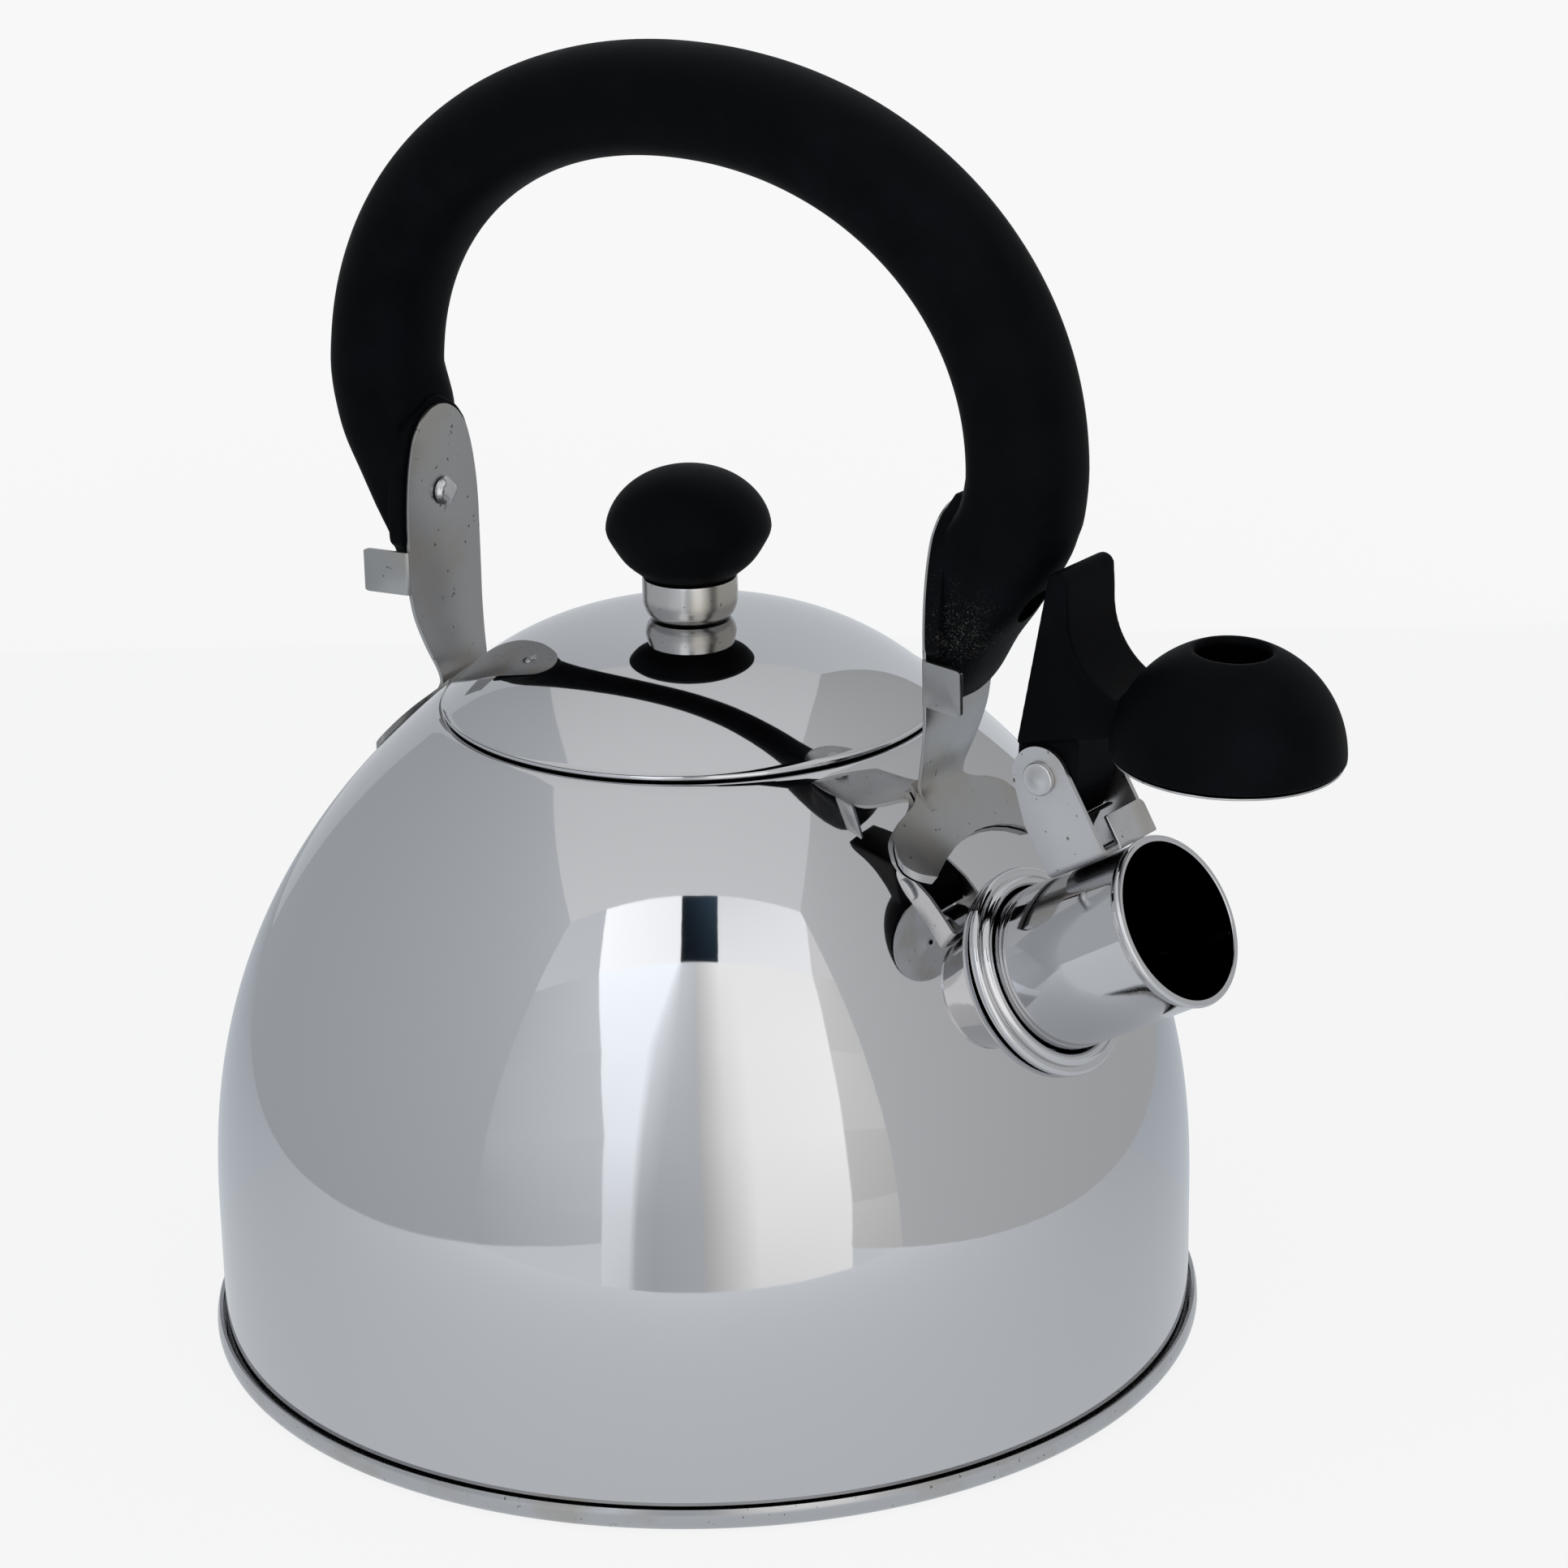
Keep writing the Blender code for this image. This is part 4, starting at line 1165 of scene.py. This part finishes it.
@dataclass
class Lid:
    """Shallow domed lid with its knob on a cup-shaped ferrule."""

    radius: float = 47.15
    rim: float = 124.45
    rise: float = 15.6
    power: float = 2.8
    bore: float = 2.3
    knob_radius: float = 15.4
    knob_waist: float = 157.2
    knob_top: float = 168.8
    ferrule_top: float = 148.0
    ferrule_radius: float = 8.9
    ferrule_foot: float = 7.6

    def height(self, radius: float) -> float:
        """Height of the lid's upper face at a radius."""
        return self.rim + self.rise * (1 - (radius / self.radius) ** self.power)

    def shell(self) -> bpy.types.Mesh:
        """Makes the lid's dome, with a turned edge."""
        steps = 70
        radii = (self.radius - 0.5 + (self.bore - self.radius + 0.5) * i / steps for i in range(steps + 1))
        path = [(r, self.height(r)) for r in radii]
        edge = arc((self.radius - 0.42, self.rim + 0.05), 0.42, -80, 50, 7)
        return turned(edge + path + beside(path, SHEET)[::-1], FINE, Axis.Z, BODY_STEEL)

    def knob(self) -> bpy.types.Mesh:
        """Makes the mushroom knob."""
        top = [(0.0, self.knob_top)]
        for step in range(1, 36):
            angle = math.radians(90 - step * 2.5)
            radius = self.knob_radius * math.cos(angle) ** 0.95
            top.append((radius, self.knob_waist + (self.knob_top - self.knob_waist) * math.sin(angle) ** 1.1))
        below = [(self.knob_radius, self.knob_waist), (self.knob_radius - 0.55, self.knob_waist - 1.7)]
        below += [(12.4, 151.6), (9.7, 149.15), (8.4, self.ferrule_top + GAP)]
        under = eased(below, 8)
        hole = [(self.bore, self.ferrule_top + GAP), (self.bore, 161.0), (0, 161.0)]
        return turned(top + under + hole, MEDIUM, Axis.Z, MOULDING)

    def ferrule(self) -> bpy.types.Mesh:
        """Makes the ferrule under the knob."""
        low = self.height(0) + GAP
        cup = [(self.ferrule_foot, low + 0.15), (8.15, low + 0.8), (8.6, low + 1.9)]
        cup += [(self.ferrule_radius, low + 3.4), (self.ferrule_radius, self.ferrule_top - 0.25)]
        side = eased(cup, 8)
        side += arc((self.ferrule_radius - 0.25, self.ferrule_top - 0.25), 0.25, 0, 90, 4)
        outline = [(self.ferrule_foot - 0.15, low)] + side
        outline += [(self.bore + 0.1, self.ferrule_top), (self.bore + 0.1, low)]
        return turned(outline, MEDIUM, Axis.Z, FERRULE_STEEL)

    def build(self) -> None:
        """Builds and dresses the pieces."""
        piece("lid_dome", self.shell(), BODY_STEEL, "lid", ["lid_shell"])
        piece("lid_grip_knob", self.knob(), MOULDING, "lid", ["lid_knob"])
        piece("lid_knob_ferrule", self.ferrule(), FERRULE_STEEL, "lid", ["knob_ferrule"])
        for node in ("lid_skirt_ring", "knob_screw", "knob_screw_washer"):
            dress(node, RIVET_STEEL)


# ---- Handle -----------------------------------------------------------------------------------


@dataclass
class HandleBrackets:
    """The two welded brackets that carry the handle: one pressing and its mirror image."""

    x: float = 59.6
    plate: float = 0.8
    foot: float = 1.0  # thickness of the saddle
    half_width: float = 10.4
    straight: float = 136.0
    end: tuple[tuple[float, float], ...] = (  # half width and height up the rounded end
        (10.4, 150.0), (10.2, 154.0), (9.75, 158.0), (9.05, 162.0), (7.9, 166.0), (6.8, 168.0),
        (5.0, 170.1), (2.6, 171.6), (0.3, 172.1),
    )
    neck_x: float = 55.9
    neck_half_width: float = 6.8
    saddle_clearance: float = 28.5
    tab_low: float = 136.5
    tab_high: float = 145.0
    tab_length: float = 10.0
    tab_splay: float = 10.8  # the tab is bent this far short of square
    tab_corner: float = 1.2
    pivot: float = 155.0
    bore: float = 2.3

    def strip(self) -> bpy.types.Mesh:
        """Makes the plate and its leaning neck as one bevelled strip."""
        middle = self.x + self.plate / 2
        stations = [(middle, z, 0.0, half) for half, z in eased(list(self.end), 4)[::-1]]
        stations += [(middle, z, 0.0, self.half_width) for z in (146.0, 142.0, 138.0)]
        neck = [
            (middle, self.straight, 0.0, self.half_width),
            (59.5, 131.5, -12.0, 9.8),
            (58.2, 126.0, -18.0, 8.5),
            (56.7, 121.4, -22.0, 7.2),
            (self.neck_x + 0.35, 119.0, -8.0, self.neck_half_width),
            (self.neck_x + 0.6, 117.8, 20.0, self.neck_half_width),
            (self.neck_x + 1.4, 116.55, 40.0, self.neck_half_width),
            (self.neck_x + 3.0, 114.95, 45.0, self.neck_half_width),
        ]
        stations += eased(neck, 6)
        rings = []
        for x, z, lean, half in stations:
            turn = math.radians(lean)
            across = Vector((math.cos(turn), 0, math.sin(turn))) * (self.plate - 0.04) / 2
            centre, side = Vector((x, 0, z)), Vector((0, half, 0))
            near, far = centre - side, centre + side
            rings.append([near - across, far - across, far + across, near + across])
        return bevelled(mesh_of(lofted(rings), "strip"), 0.2, 2)

    def saddle(self, body: KettleBody, spout: Spout) -> bpy.types.Mesh:
        """Makes the foot that lies on the dome, cut by its plan and by a circle about the spout.

        Args:
            body: The body it is welded to.
            spout: The spout it goes round.

        Returns:
            A closed mesh.
        """
        outer = beside(body.dome_path(100, 122, 36), -GAP)
        layer = sheet(beside(outer, -self.foot), self.foot)
        reach, steps = 27, 30  # degrees and steps to each side
        rings = []
        for step in range(-steps, steps + 1):
            angle = math.radians(reach * step / steps)
            rings.append([Vector((r * math.cos(angle), r * math.sin(angle), z)) for r, z in layer])
        wing = [(54.4, self.neck_half_width), (56.0, 7.6), (57.0, 10.0), (57.4, 13.6), (58.3, 17.6)]
        wing += [(60.0, 19.4), (61.2, 19.8), (62.4, 19.4), (64.2, 17.6), (66.5, 13.5), (69.0, 8.0)]
        half = eased(wing, 5)
        plan = half + [(x, -y) for x, y in half[::-1]]
        ring = mesh_of(round_bar(self.saddle_clearance, -60, 20, (0, 0), Axis.X), "ring")
        ring.transform(spout.frame())
        return combined(
            mesh_of(lofted(rings), "saddle"),
            [("INTERSECT", mesh_of(prism(plan, 90, 130, Axis.Z), "plan")), ("DIFFERENCE", ring)],
        )

    def tab(self) -> bpy.types.Mesh:
        """Makes the stop tab, bent out from the plate's near edge, its free corners rounded."""
        edge, turn = -self.half_width, math.radians(self.tab_splay)
        along = Vector((math.cos(turn), -math.sin(turn)))
        across = Vector((-math.sin(turn), -math.cos(turn)))
        root = Vector((self.x + self.plate, edge))
        far = root + along * (self.tab_length - self.plate)
        bend = arc((self.x + 1.0, edge + 0.1), 0.9, 180, 258, 6)
        outline = [Vector(point) for point in bend] + [far + across * self.plate, far, root]
        outline += [Vector((self.x + self.plate, edge + 0.6)), Vector((self.x + 0.1, edge + 0.6))]
        end, corner = self.x + self.tab_length, self.tab_corner
        face = arc((end - corner, self.tab_low + corner), corner, -90, 0, 8)
        face += arc((end - corner, self.tab_high - corner), corner, 0, 90, 8)
        face += [(self.x - 1, self.tab_high), (self.x - 1, self.tab_low)]
        blank = mesh_of(prism(outline, self.tab_low, self.tab_high, Axis.Z), "tab")
        cut = mesh_of(prism(face, -20, 0, Axis.Y), "face")
        return bevelled(combined(blank, [("INTERSECT", cut)]), 0.12, 2)

    def blank(self, body: KettleBody, spout: Spout) -> bpy.types.Mesh:
        """Makes the front bracket."""
        bore = mesh_of(round_bar(self.bore, 50, 90, (0, self.pivot), Axis.X), "bore")
        steps = [("UNION", self.tab()), ("UNION", self.saddle(body, spout)), ("DIFFERENCE", bore)]
        return combined(self.strip(), steps)

    def build(self, body: KettleBody, spout: Spout) -> None:
        """Builds and dresses both brackets."""
        front = self.blank(body, spout)
        rear = front.copy()
        rear.transform(Matrix.Scale(-1, 4, (1, 0, 0)))
        for name, mesh in (("front", front), ("rear", outward(rear))):
            piece(
                f"{name}_bracket_pressing", mesh, BRACKET_STEEL, "kettle_body",
                [f"{name}_handle_bracket"],
            )


@dataclass
class Bail:
    """One-piece bail handle, and the rivets it turns on."""

    pad: float = 60.7  # inner face of each leg
    pad_thick: float = 3.2
    pad_margin: float = 1.15  # the pads stand this far outside the bracket plates
    middle: float = 1.4
    half_span: float = 73.6
    lean: float = 1.6
    spring: float = 178.0
    rise: float = 59.2
    power: float = 2.08
    radial: float = 10.3
    side: float = 10.9
    squareness: float = 2.2
    pocket_radius: float = 3.3
    pocket_floor: float = 71.4
    head: float = 2.7
    washer: float = 3.0
    around: int = 72

    def leg(self, side: int) -> list[tuple[float, ...]]:
        """One leg from its tip up.

        Args:
            side: 1 for the front leg, -1 for the rear one.

        Returns:
            For each height: x, the height, radial half, side half and squareness of its inner face.
        """
        pad, shift = self.pad, side * self.middle
        inner = self.half_span + shift - self.radial
        faces = [
            (136.2, pad + 0.3, 62.8, 4.6, 6.0),
            (137.4, pad, 63.6, 7.6, 6.0),
            (140.5, pad, 65.2 + shift / 2, 9.1, 8.0),
            (146.5, pad, 68.4 + shift, 9.7, 8.0),
            (152.5, pad, 73.2 + shift, 9.9, 8.0),
            (158.8, pad, 77.5 + shift, 10.0, 8.0),
            (164.0, pad + 0.5, 80.7 + shift, 10.2, 7.0),
            (168.0, pad + 1.5, 82.2 + shift, 10.4, 5.0),
            (172.0, inner - 0.6, 83.2 + shift, 10.7, 3.0),
        ]
        return [(side * (low + high) / 2, z, (high - low) / 2, *rest) for z, low, high, *rest in faces]

    def stations(self) -> list[tuple[Vector, Vector, Vector]]:
        """Place, inward direction and section sizes from the rear leg's tip to the front leg's tip."""
        bow = []
        steps = 40
        for step in range(steps + 1):
            angle = math.pi * (1 - step / steps)
            across = math.copysign(abs(math.cos(angle)) ** (2 / self.power), math.cos(angle))
            up = math.sin(angle) ** (2 / self.power) if 0 < step < steps else 0.0
            x = self.middle + self.half_span * across + self.lean * up
            bow.append((x, self.spring + self.rise * up, self.radial, self.side, self.squareness))
        line = self.leg(-1) + bow + self.leg(1)[::-1]
        line = eased(line, 3)
        made = []
        for index, (x, z, radial, side, power) in enumerate(line):
            before, after = line[max(index - 1, 0)], line[min(index + 1, len(line) - 1)]
            bow_way = Vector((after[1] - before[1], 0, before[0] - after[0])).normalized()
            leg_way = Vector((-math.copysign(1, x), 0, 0))
            share = min(max((z - 166.0) / 14.0, 0.0), 1.0)
            share = share * share * (3 - 2 * share)
            inward = leg_way.lerp(bow_way, share).normalized()
            made.append((Vector((x, 0, z)), inward, Vector((radial, side, max(power, self.squareness)))))
        first, last = made[0], made[-1]
        return [(first[0], first[1], Vector((0, 0, 4)))] + made + [(last[0], last[1], Vector((0, 0, 4)))]

    def rest(self, side: int, end: tuple[tuple[float, float], ...]) -> bpy.types.Mesh:
        """Makes the flat pad by which one leg lies on its bracket.

        Args:
            side: 1 for the front leg, -1 for the rear one.
            end: The bracket plate's half widths and heights up its rounded end.

        Returns:
            A closed mesh with softened edges.
        """
        half = [(9.0, 143.5), (10.3, 145.6), (11.0, 146.3), (11.5, 147.4)]
        half += [(width + self.pad_margin, z + self.pad_margin / 2) for width, z in end[:-1]]
        half = eased(half + [(1.5, 173.6)], 4)
        outline = half + [(-width, z) for width, z in half[::-1]]
        low, high = sorted((side * self.pad, side * (self.pad + self.pad_thick)))
        return bevelled(mesh_of(prism(outline, low, high, Axis.X), "pad"), 0.5, 3)

    def grip(self, pivot: float, bore: float, end: tuple[tuple[float, float], ...]) -> bpy.types.Mesh:
        """Makes the handle with a bore and an outside pocket at each leg.

        Args:
            pivot: Height of the rivets.
            bore: Radius of the bore.
            end: The bracket plate's half widths and heights up its rounded end.

        Returns:
            A closed mesh.
        """
        stations = self.stations()
        path = bpy.data.meshes.new("stations")
        path.from_pydata([place * MM for place, _, _ in stations], [], [])
        inward = path.attributes.new("inward", "FLOAT_VECTOR", "POINT")
        size = path.attributes.new("size", "FLOAT_VECTOR", "POINT")
        for index, (_, way, sizes) in enumerate(stations):
            inward.data[index].vector = way
            size.data[index].vector = (sizes.x * MM, sizes.y * MM, sizes.z)
        values = {
            "Around": self.around, "Outer power": self.squareness, "Material": GRIP_MOULDING.material(),
        }
        blank = run_tree(path, sweeping_tree(), values)
        steps = [("UNION", self.rest(side, end)) for side in (-1, 1)]
        steps.append(("DIFFERENCE", mesh_of(round_bar(bore, -95, 95, (0, pivot), Axis.X), "bore")))
        for low, high in ((-95, -self.pocket_floor), (self.pocket_floor, 95)):
            pocket = round_bar(self.pocket_radius, low, high, (0, pivot), Axis.X)
            steps.append(("DIFFERENCE", mesh_of(pocket, "pocket")))
        return combined(blank, steps)

    def rivet(self, brackets: HandleBrackets) -> bpy.types.Mesh:
        """Makes one rivet with its washer, along +X: staked inside the bracket, headed in the pocket.

        Args:
            brackets: The brackets it goes through.

        Returns:
            One mesh of two closed shells.
        """
        staked, seat = brackets.x - GAP, self.pocket_floor + GAP
        radius = brackets.bore - GAP
        stake = [(0, -1.5), (1.3, -1.6), (2.15, -1.3), (2.7, -0.6), (2.7, 0.0)]
        outline = [(across, staked + along) for across, along in stake]
        outline += [(radius, staked), (radius, seat + 0.9)]
        head = [(self.head, 0.9), (self.head, 1.2), (self.head - 0.5, 1.6), (1.4, 1.85), (0, 1.9)]
        outline += [(across, seat + along) for across, along in head]
        pin = turned(outline, SMALL, Axis.X, RIVET_STEEL)
        for point in pin.vertices:
            if point.co.x < (staked - 0.2) * MM:
                lobes = math.cos(4 * math.atan2(point.co.z, point.co.y))
                point.co.y *= 1 + 0.09 * lobes
                point.co.z *= 1 + 0.09 * lobes
        bore = brackets.bore
        ring = [(bore, seat), (self.washer, seat), (self.washer, seat + 0.6), (bore, seat + 0.6)]
        shape = bmesh.new()
        shape.from_mesh(pin)
        shape.from_mesh(turned(ring, SMALL, Axis.X, RIVET_STEEL))
        return mesh_of(shape, "rivet")

    def build(self, brackets: HandleBrackets) -> None:
        """Builds and dresses the pieces."""
        grip = self.grip(brackets.pivot, brackets.bore, brackets.end)
        piece("bail_grip", grip, GRIP_MOULDING, "handle", ["handle_grip"], smooth=45)
        height = Vector((0, 0, brackets.pivot))
        places = [(height, (0.0, 0.0, 0.0)), (height, (0.0, 0.0, math.pi))]
        rivets = repeated(self.rivet(brackets), places, RIVET_STEEL)
        nodes = [f"{side}_{what}" for side in ("front", "rear") for what in ("handle_rivet", "rivet_washer")]
        piece("handle_rivet_set", rivets, RIVET_STEEL, "kettle_body", nodes)


# ---- Studio -----------------------------------------------------------------------------------


@dataclass(frozen=True)
class Screen:
    """One cloth screen of the light tent: four corners as (right, forward, up), each with its tone."""

    name: str
    corners: tuple[tuple[float, float, float], ...]
    tones: tuple[float, ...]  # grey level of each corner as the steel shows it, 0 to 255
    tint: tuple[float, float, float] = (1.0, 1.0, 1.0)


@dataclass
class Studio:
    """Plain pale floor, a light tent of glowing cloth, and the camera."""

    azimuth: float = 36.6
    elevation: float = 19.742
    distance: float = 862.4
    roll: float = -1.068
    right: float = 16.784
    up: float = 106.305
    lens: float = 104.8
    backdrop: float = 0.95
    steel: float = 0.575  # share of light that the buffed steel returns
    left_wall: float = -320.0
    right_wall: float = 258.0
    front: float = 305.0
    rear: float = -420.0
    roof: float = 590.0
    seam: float = -40.0  # where the floor's two cloths meet
    cloth_steps: int = 6  # squares along a cloth's edge
    gamma: float = 2.2
    tent_drop: float = 0.0006  # metres under the kettle
    paper_drop: float = 0.0003  # metres under the kettle
    paper_radius: float = 12.0  # metres
    paper_glow: float = 0.9  # share of the paper's tone that doesn't depend on shadows

    def camera(self) -> None:
        """Sets the camera at the kettle's front, a little above its lid."""
        turn, lift, roll = (math.radians(v) for v in (self.azimuth, self.elevation, self.roll))
        back = Vector((math.sin(turn) * math.cos(lift), -math.cos(turn) * math.cos(lift), math.sin(lift)))
        right = Vector((math.cos(turn), math.sin(turn), 0))
        upward = back.cross(right)
        place = right * self.right + Vector((0, 0, self.up)) + back * self.distance
        side = right * math.cos(roll) + upward * math.sin(roll)
        top = upward * math.cos(roll) - right * math.sin(roll)
        lens = bpy.data.cameras.new("Studio camera")
        lens.lens, lens.sensor_width = self.lens, 36.0
        lens.clip_start, lens.clip_end = 0.01, 50.0
        made = bpy.data.objects.new("Studio camera", lens)
        made.matrix_world = Matrix.Translation(place * MM) @ Matrix((side, top, back)).transposed().to_4x4()
        bpy.context.scene.collection.objects.link(made)
        bpy.context.scene.camera = made

    def tent_frame(self) -> Matrix:
        """Turn of the tent: X to the right, -Y forward, Z up."""
        return Matrix.Rotation(math.radians(self.azimuth), 4, "Z")

    def screens(self) -> list[Screen]:
        """The tent's cloths: floor, walls, roof and the two front flaps with the slit between them."""
        left, right, front, rear, roof = self.left_wall, self.right_wall, self.front, self.rear, self.roof
        seam = self.seam
        cool = (0.955, 1.0, 1.045)
        pale = (0.985, 1.0, 1.012)
        made = [
            Screen("floor_rear", ((left, rear, 0), (right, rear, 0), (right, seam, 0), (left, seam, 0)),
                   (134, 128, 158, 164), (0.93, 1.0, 1.07)),
            Screen("floor", ((left, seam, 0), (right, seam, 0), (right, front, 0), (left, front, 0)),
                   (164, 158, 190, 190), cool),
            Screen("left", ((left, rear, 0), (left, front, 0), (left, front, roof), (left, rear, roof)),
                   (138, 154, 172, 146), cool),
            Screen("right", ((right, front, 0), (right, rear, 0), (right, rear, roof), (right, front, roof)),
                   (162, 136, 146, 172), pale),
            Screen("rear", ((right, rear, 0), (left, rear, 0), (left, rear, roof), (right, rear, roof)),
                   (176, 152, 158, 170), cool),
            Screen("roof",
                   ((left, rear, roof), (left, front, roof), (right, front, roof), (right, rear, roof)),
                   (168, 190, 188, 172), pale),
        ]
        levels = (0.0, 65.0, 145.0, 250.0, 392.0)
        edges = (
            (left, -104, -74, -66, -48, 4, 30, 60, 170, right),
            (left, -104, -72, -64, -46, 4, 28, 60, 176, right),
            (left, -108, -70, -60, -36, 0, 30, 60, 180, right),
            (left, -130, -64, -52, -26, 0, 32, 60, 190, right),
            (left, -172, -30, -27, -22, 0, 37, 70, 209, right),
        )
        tones = (
            (168, 197, 190, 158, 151, 158, 182, 206, 213),
            (172, 205, 202, 162, 156, 160, 188, 218, 220),
            (182, 226, 228, 188, 170, 168, 206, 225, 230),
            (184, 238, 238, 210, 184, 174, 215, 227, 231),
            (186, 249, 246, 232, 200, 186, 226, 226, 226),
        )
        for row in range(len(levels) - 1):
            low, high = levels[row], levels[row + 1]
            for col in range(len(edges[0]) - 1):
                corners = (
                    (edges[row][col], front, low), (edges[row][col + 1], front, low),
                    (edges[row + 1][col + 1], front, high), (edges[row + 1][col], front, high),
                )
                if row == 0 and col in (0, 8):
                    made.append(self.lip(corners, cool))
                    corners = self.lifted(corners, col)
                sides = self.flap_tones(tones[row], tones[row + 1], col)
                tint = cool if col < 5 else (1.0, 1.0, 0.99)
                made.append(Screen(f"flap_{row}_{col}", corners, sides, tint))
        high = levels[-1]
        tops = (
            ((left, -172, -216, left), (186, 186, 184, 184), cool),
            ((-172, -26, -31, -216), (249, 238, 236, 250), pale),
            ((-26, 37, 53, -31), (22, 42, 66, 34), (0.6, 1.0, 1.45)),
            ((37, 209, 270, 53), (222, 226, 222, 210), pale),
        )
        for (a, b, c, d), corners_tones, tint in tops:
            corners = ((a, front, high), (b, front, high), (c, front, roof), (d, front, roof))
            made.append(Screen("flap_top", corners, corners_tones, tint))
        return made

    @staticmethod
    def lifted(corners: Sequence[tuple[float, ...]], col: int) -> tuple[tuple[float, ...], ...]:
        """The outside flap's corners, its lower edge raised on the slit's side."""
        low = list(corners)
        inner, rise = (1, 40.0) if col == 0 else (0, 20.0)
        low[inner] = (*low[inner][:2], rise)
        return tuple(low)

    @staticmethod
    def lip(corners: Sequence[tuple[float, ...]], tint: tuple[float, ...]) -> Screen:
        """The floor cloth that shows below an outside flap."""
        a, b = corners[:2]
        top = tuple((*corner[:2], 42.0) for corner in (b, a))
        behind = tuple((corner[0], corner[1] + 1.0, corner[2]) for corner in (a, b, *top))
        return Screen("lip", behind, (186, 189, 189, 186), tint)

    @staticmethod
    def flap_tones(low: Sequence[float], high: Sequence[float], col: int) -> tuple[float, ...]:
        """Tones of one strip of the front: plain cloth at both outsides, the lit slit between them."""
        if col == 0:
            return (low[0] - 16, low[0] + 4, high[0] + 2, high[0] - 14)
        if col == 8:
            return (176.0, 168.0, 176.0, 184.0) if low[0] < 180 else (188.0, 184.0, 186.0, 196.0)
        return (low[col], low[col + 1], high[col + 1], high[col])

    def glow(self) -> bpy.types.Material:
        """Glowing cloth whose tone comes from each screen's own colours."""
        made, tree = empty_material("Tent cloth, lit from behind")
        tone = add_node(tree, "ShaderNodeVertexColor", layer_name="tone")
        light = add_node(tree, "ShaderNodeEmission", {"Color": tone.outputs[0], "Strength": 1.0})
        add_node(tree, "ShaderNodeOutputMaterial", {"Surface": light.outputs[0]})
        return made

    def tent(self) -> None:
        """Builds the tent as one object that only reflections and light see."""
        steps = self.cloth_steps
        corners: list[Vector] = []
        faces: list[tuple[int, ...]] = []
        colours: list[tuple[float, ...]] = []
        for screen in self.screens():
            a, b, c, d = (Vector(p) for p in screen.corners)
            first = len(corners)
            for i in range(steps + 1):
                for j in range(steps + 1):
                    s, t = i / steps, j / steps
                    place = a.lerp(b, s).lerp(d.lerp(c, s), t)
                    corners.append(Vector((place.x, -place.y, place.z)) * MM)
                    low = screen.tones[0] + (screen.tones[1] - screen.tones[0]) * s
                    high = screen.tones[3] + (screen.tones[2] - screen.tones[3]) * s
                    tone = low + (high - low) * t
                    value = (max(tone, 0.0) / 255) ** self.gamma / self.steel
                    colours.append(tuple(value * part for part in screen.tint) + (1.0,))
            row = steps + 1
            for i in range(steps):
                for j in range(steps):
                    k = first + i * row + j
                    faces.append((k, k + row, k + row + 1, k + 1))
        mesh = bpy.data.meshes.new("Light tent")
        mesh.from_pydata(corners, [], faces)
        layer = mesh.color_attributes.new("tone", "FLOAT_COLOR", "POINT")
        for index, colour in enumerate(colours):
            layer.data[index].color = colour
        mesh.materials.append(self.glow())
        made = object_of(mesh, "light_tent")
        made.matrix_world = self.tent_frame()
        made.location.z = -self.tent_drop
        made.visible_camera = False

    def floor(self) -> None:
        """Lays the plain pale floor, which the steel doesn't mirror; the tent's own floor stands for it."""
        made, tree = empty_material("Paper, matt white")
        paper = add_node(tree, "ShaderNodeBsdfDiffuse", {"Color": linear("f4f4f4")})
        lit = add_node(tree, "ShaderNodeEmission", {"Color": (1, 1, 1, 1), "Strength": self.backdrop})
        both = {0: self.paper_glow, 1: paper.outputs[0], 2: lit.outputs[0]}
        blend = add_node(tree, "ShaderNodeMixShader", both)
        add_node(tree, "ShaderNodeOutputMaterial", {"Surface": blend.outputs[0]})
        shape = bmesh.new()
        bmesh.ops.create_circle(shape, cap_ends=True, radius=self.paper_radius, segments=64)
        mesh = mesh_of(shape, "Paper floor")
        mesh.materials.append(made)
        sheet_object = object_of(mesh, "paper_floor")
        sheet_object.location.z = -self.paper_drop
        sheet_object.visible_glossy = False

    def world(self) -> None:
        """Sets the plain backdrop round everything."""
        made = bpy.data.worlds.new("Backdrop")
        made.use_nodes = True
        made.node_tree.nodes.clear()
        sky = add_node(
            made.node_tree, "ShaderNodeBackground", {"Color": (1, 1, 1, 1), "Strength": self.backdrop}
        )
        add_node(made.node_tree, "ShaderNodeOutputWorld", {"Surface": sky.outputs[0]})
        bpy.context.scene.world = made
        bpy.context.scene.view_settings.view_transform = "Standard"

    def build(self) -> None:
        """Sets up the studio."""
        self.world()
        self.floor()
        self.tent()
        self.camera()


def main() -> None:
    """Builds the kettle and its studio, piece by piece."""
    logging.basicConfig(level=logging.INFO, format="%(name)s: %(message)s")
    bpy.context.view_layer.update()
    body, spout, hinge, brackets = KettleBody(), Spout(), LeverHinge(), HandleBrackets()
    body.build(spout)
    spout.build(body)
    hinge.build(spout)
    Whistle().build(hinge, spout)
    Lid().build()
    brackets.build(body, spout)
    Bail().build(brackets)
    Studio().build()


if __name__ == "__main__":
    main()
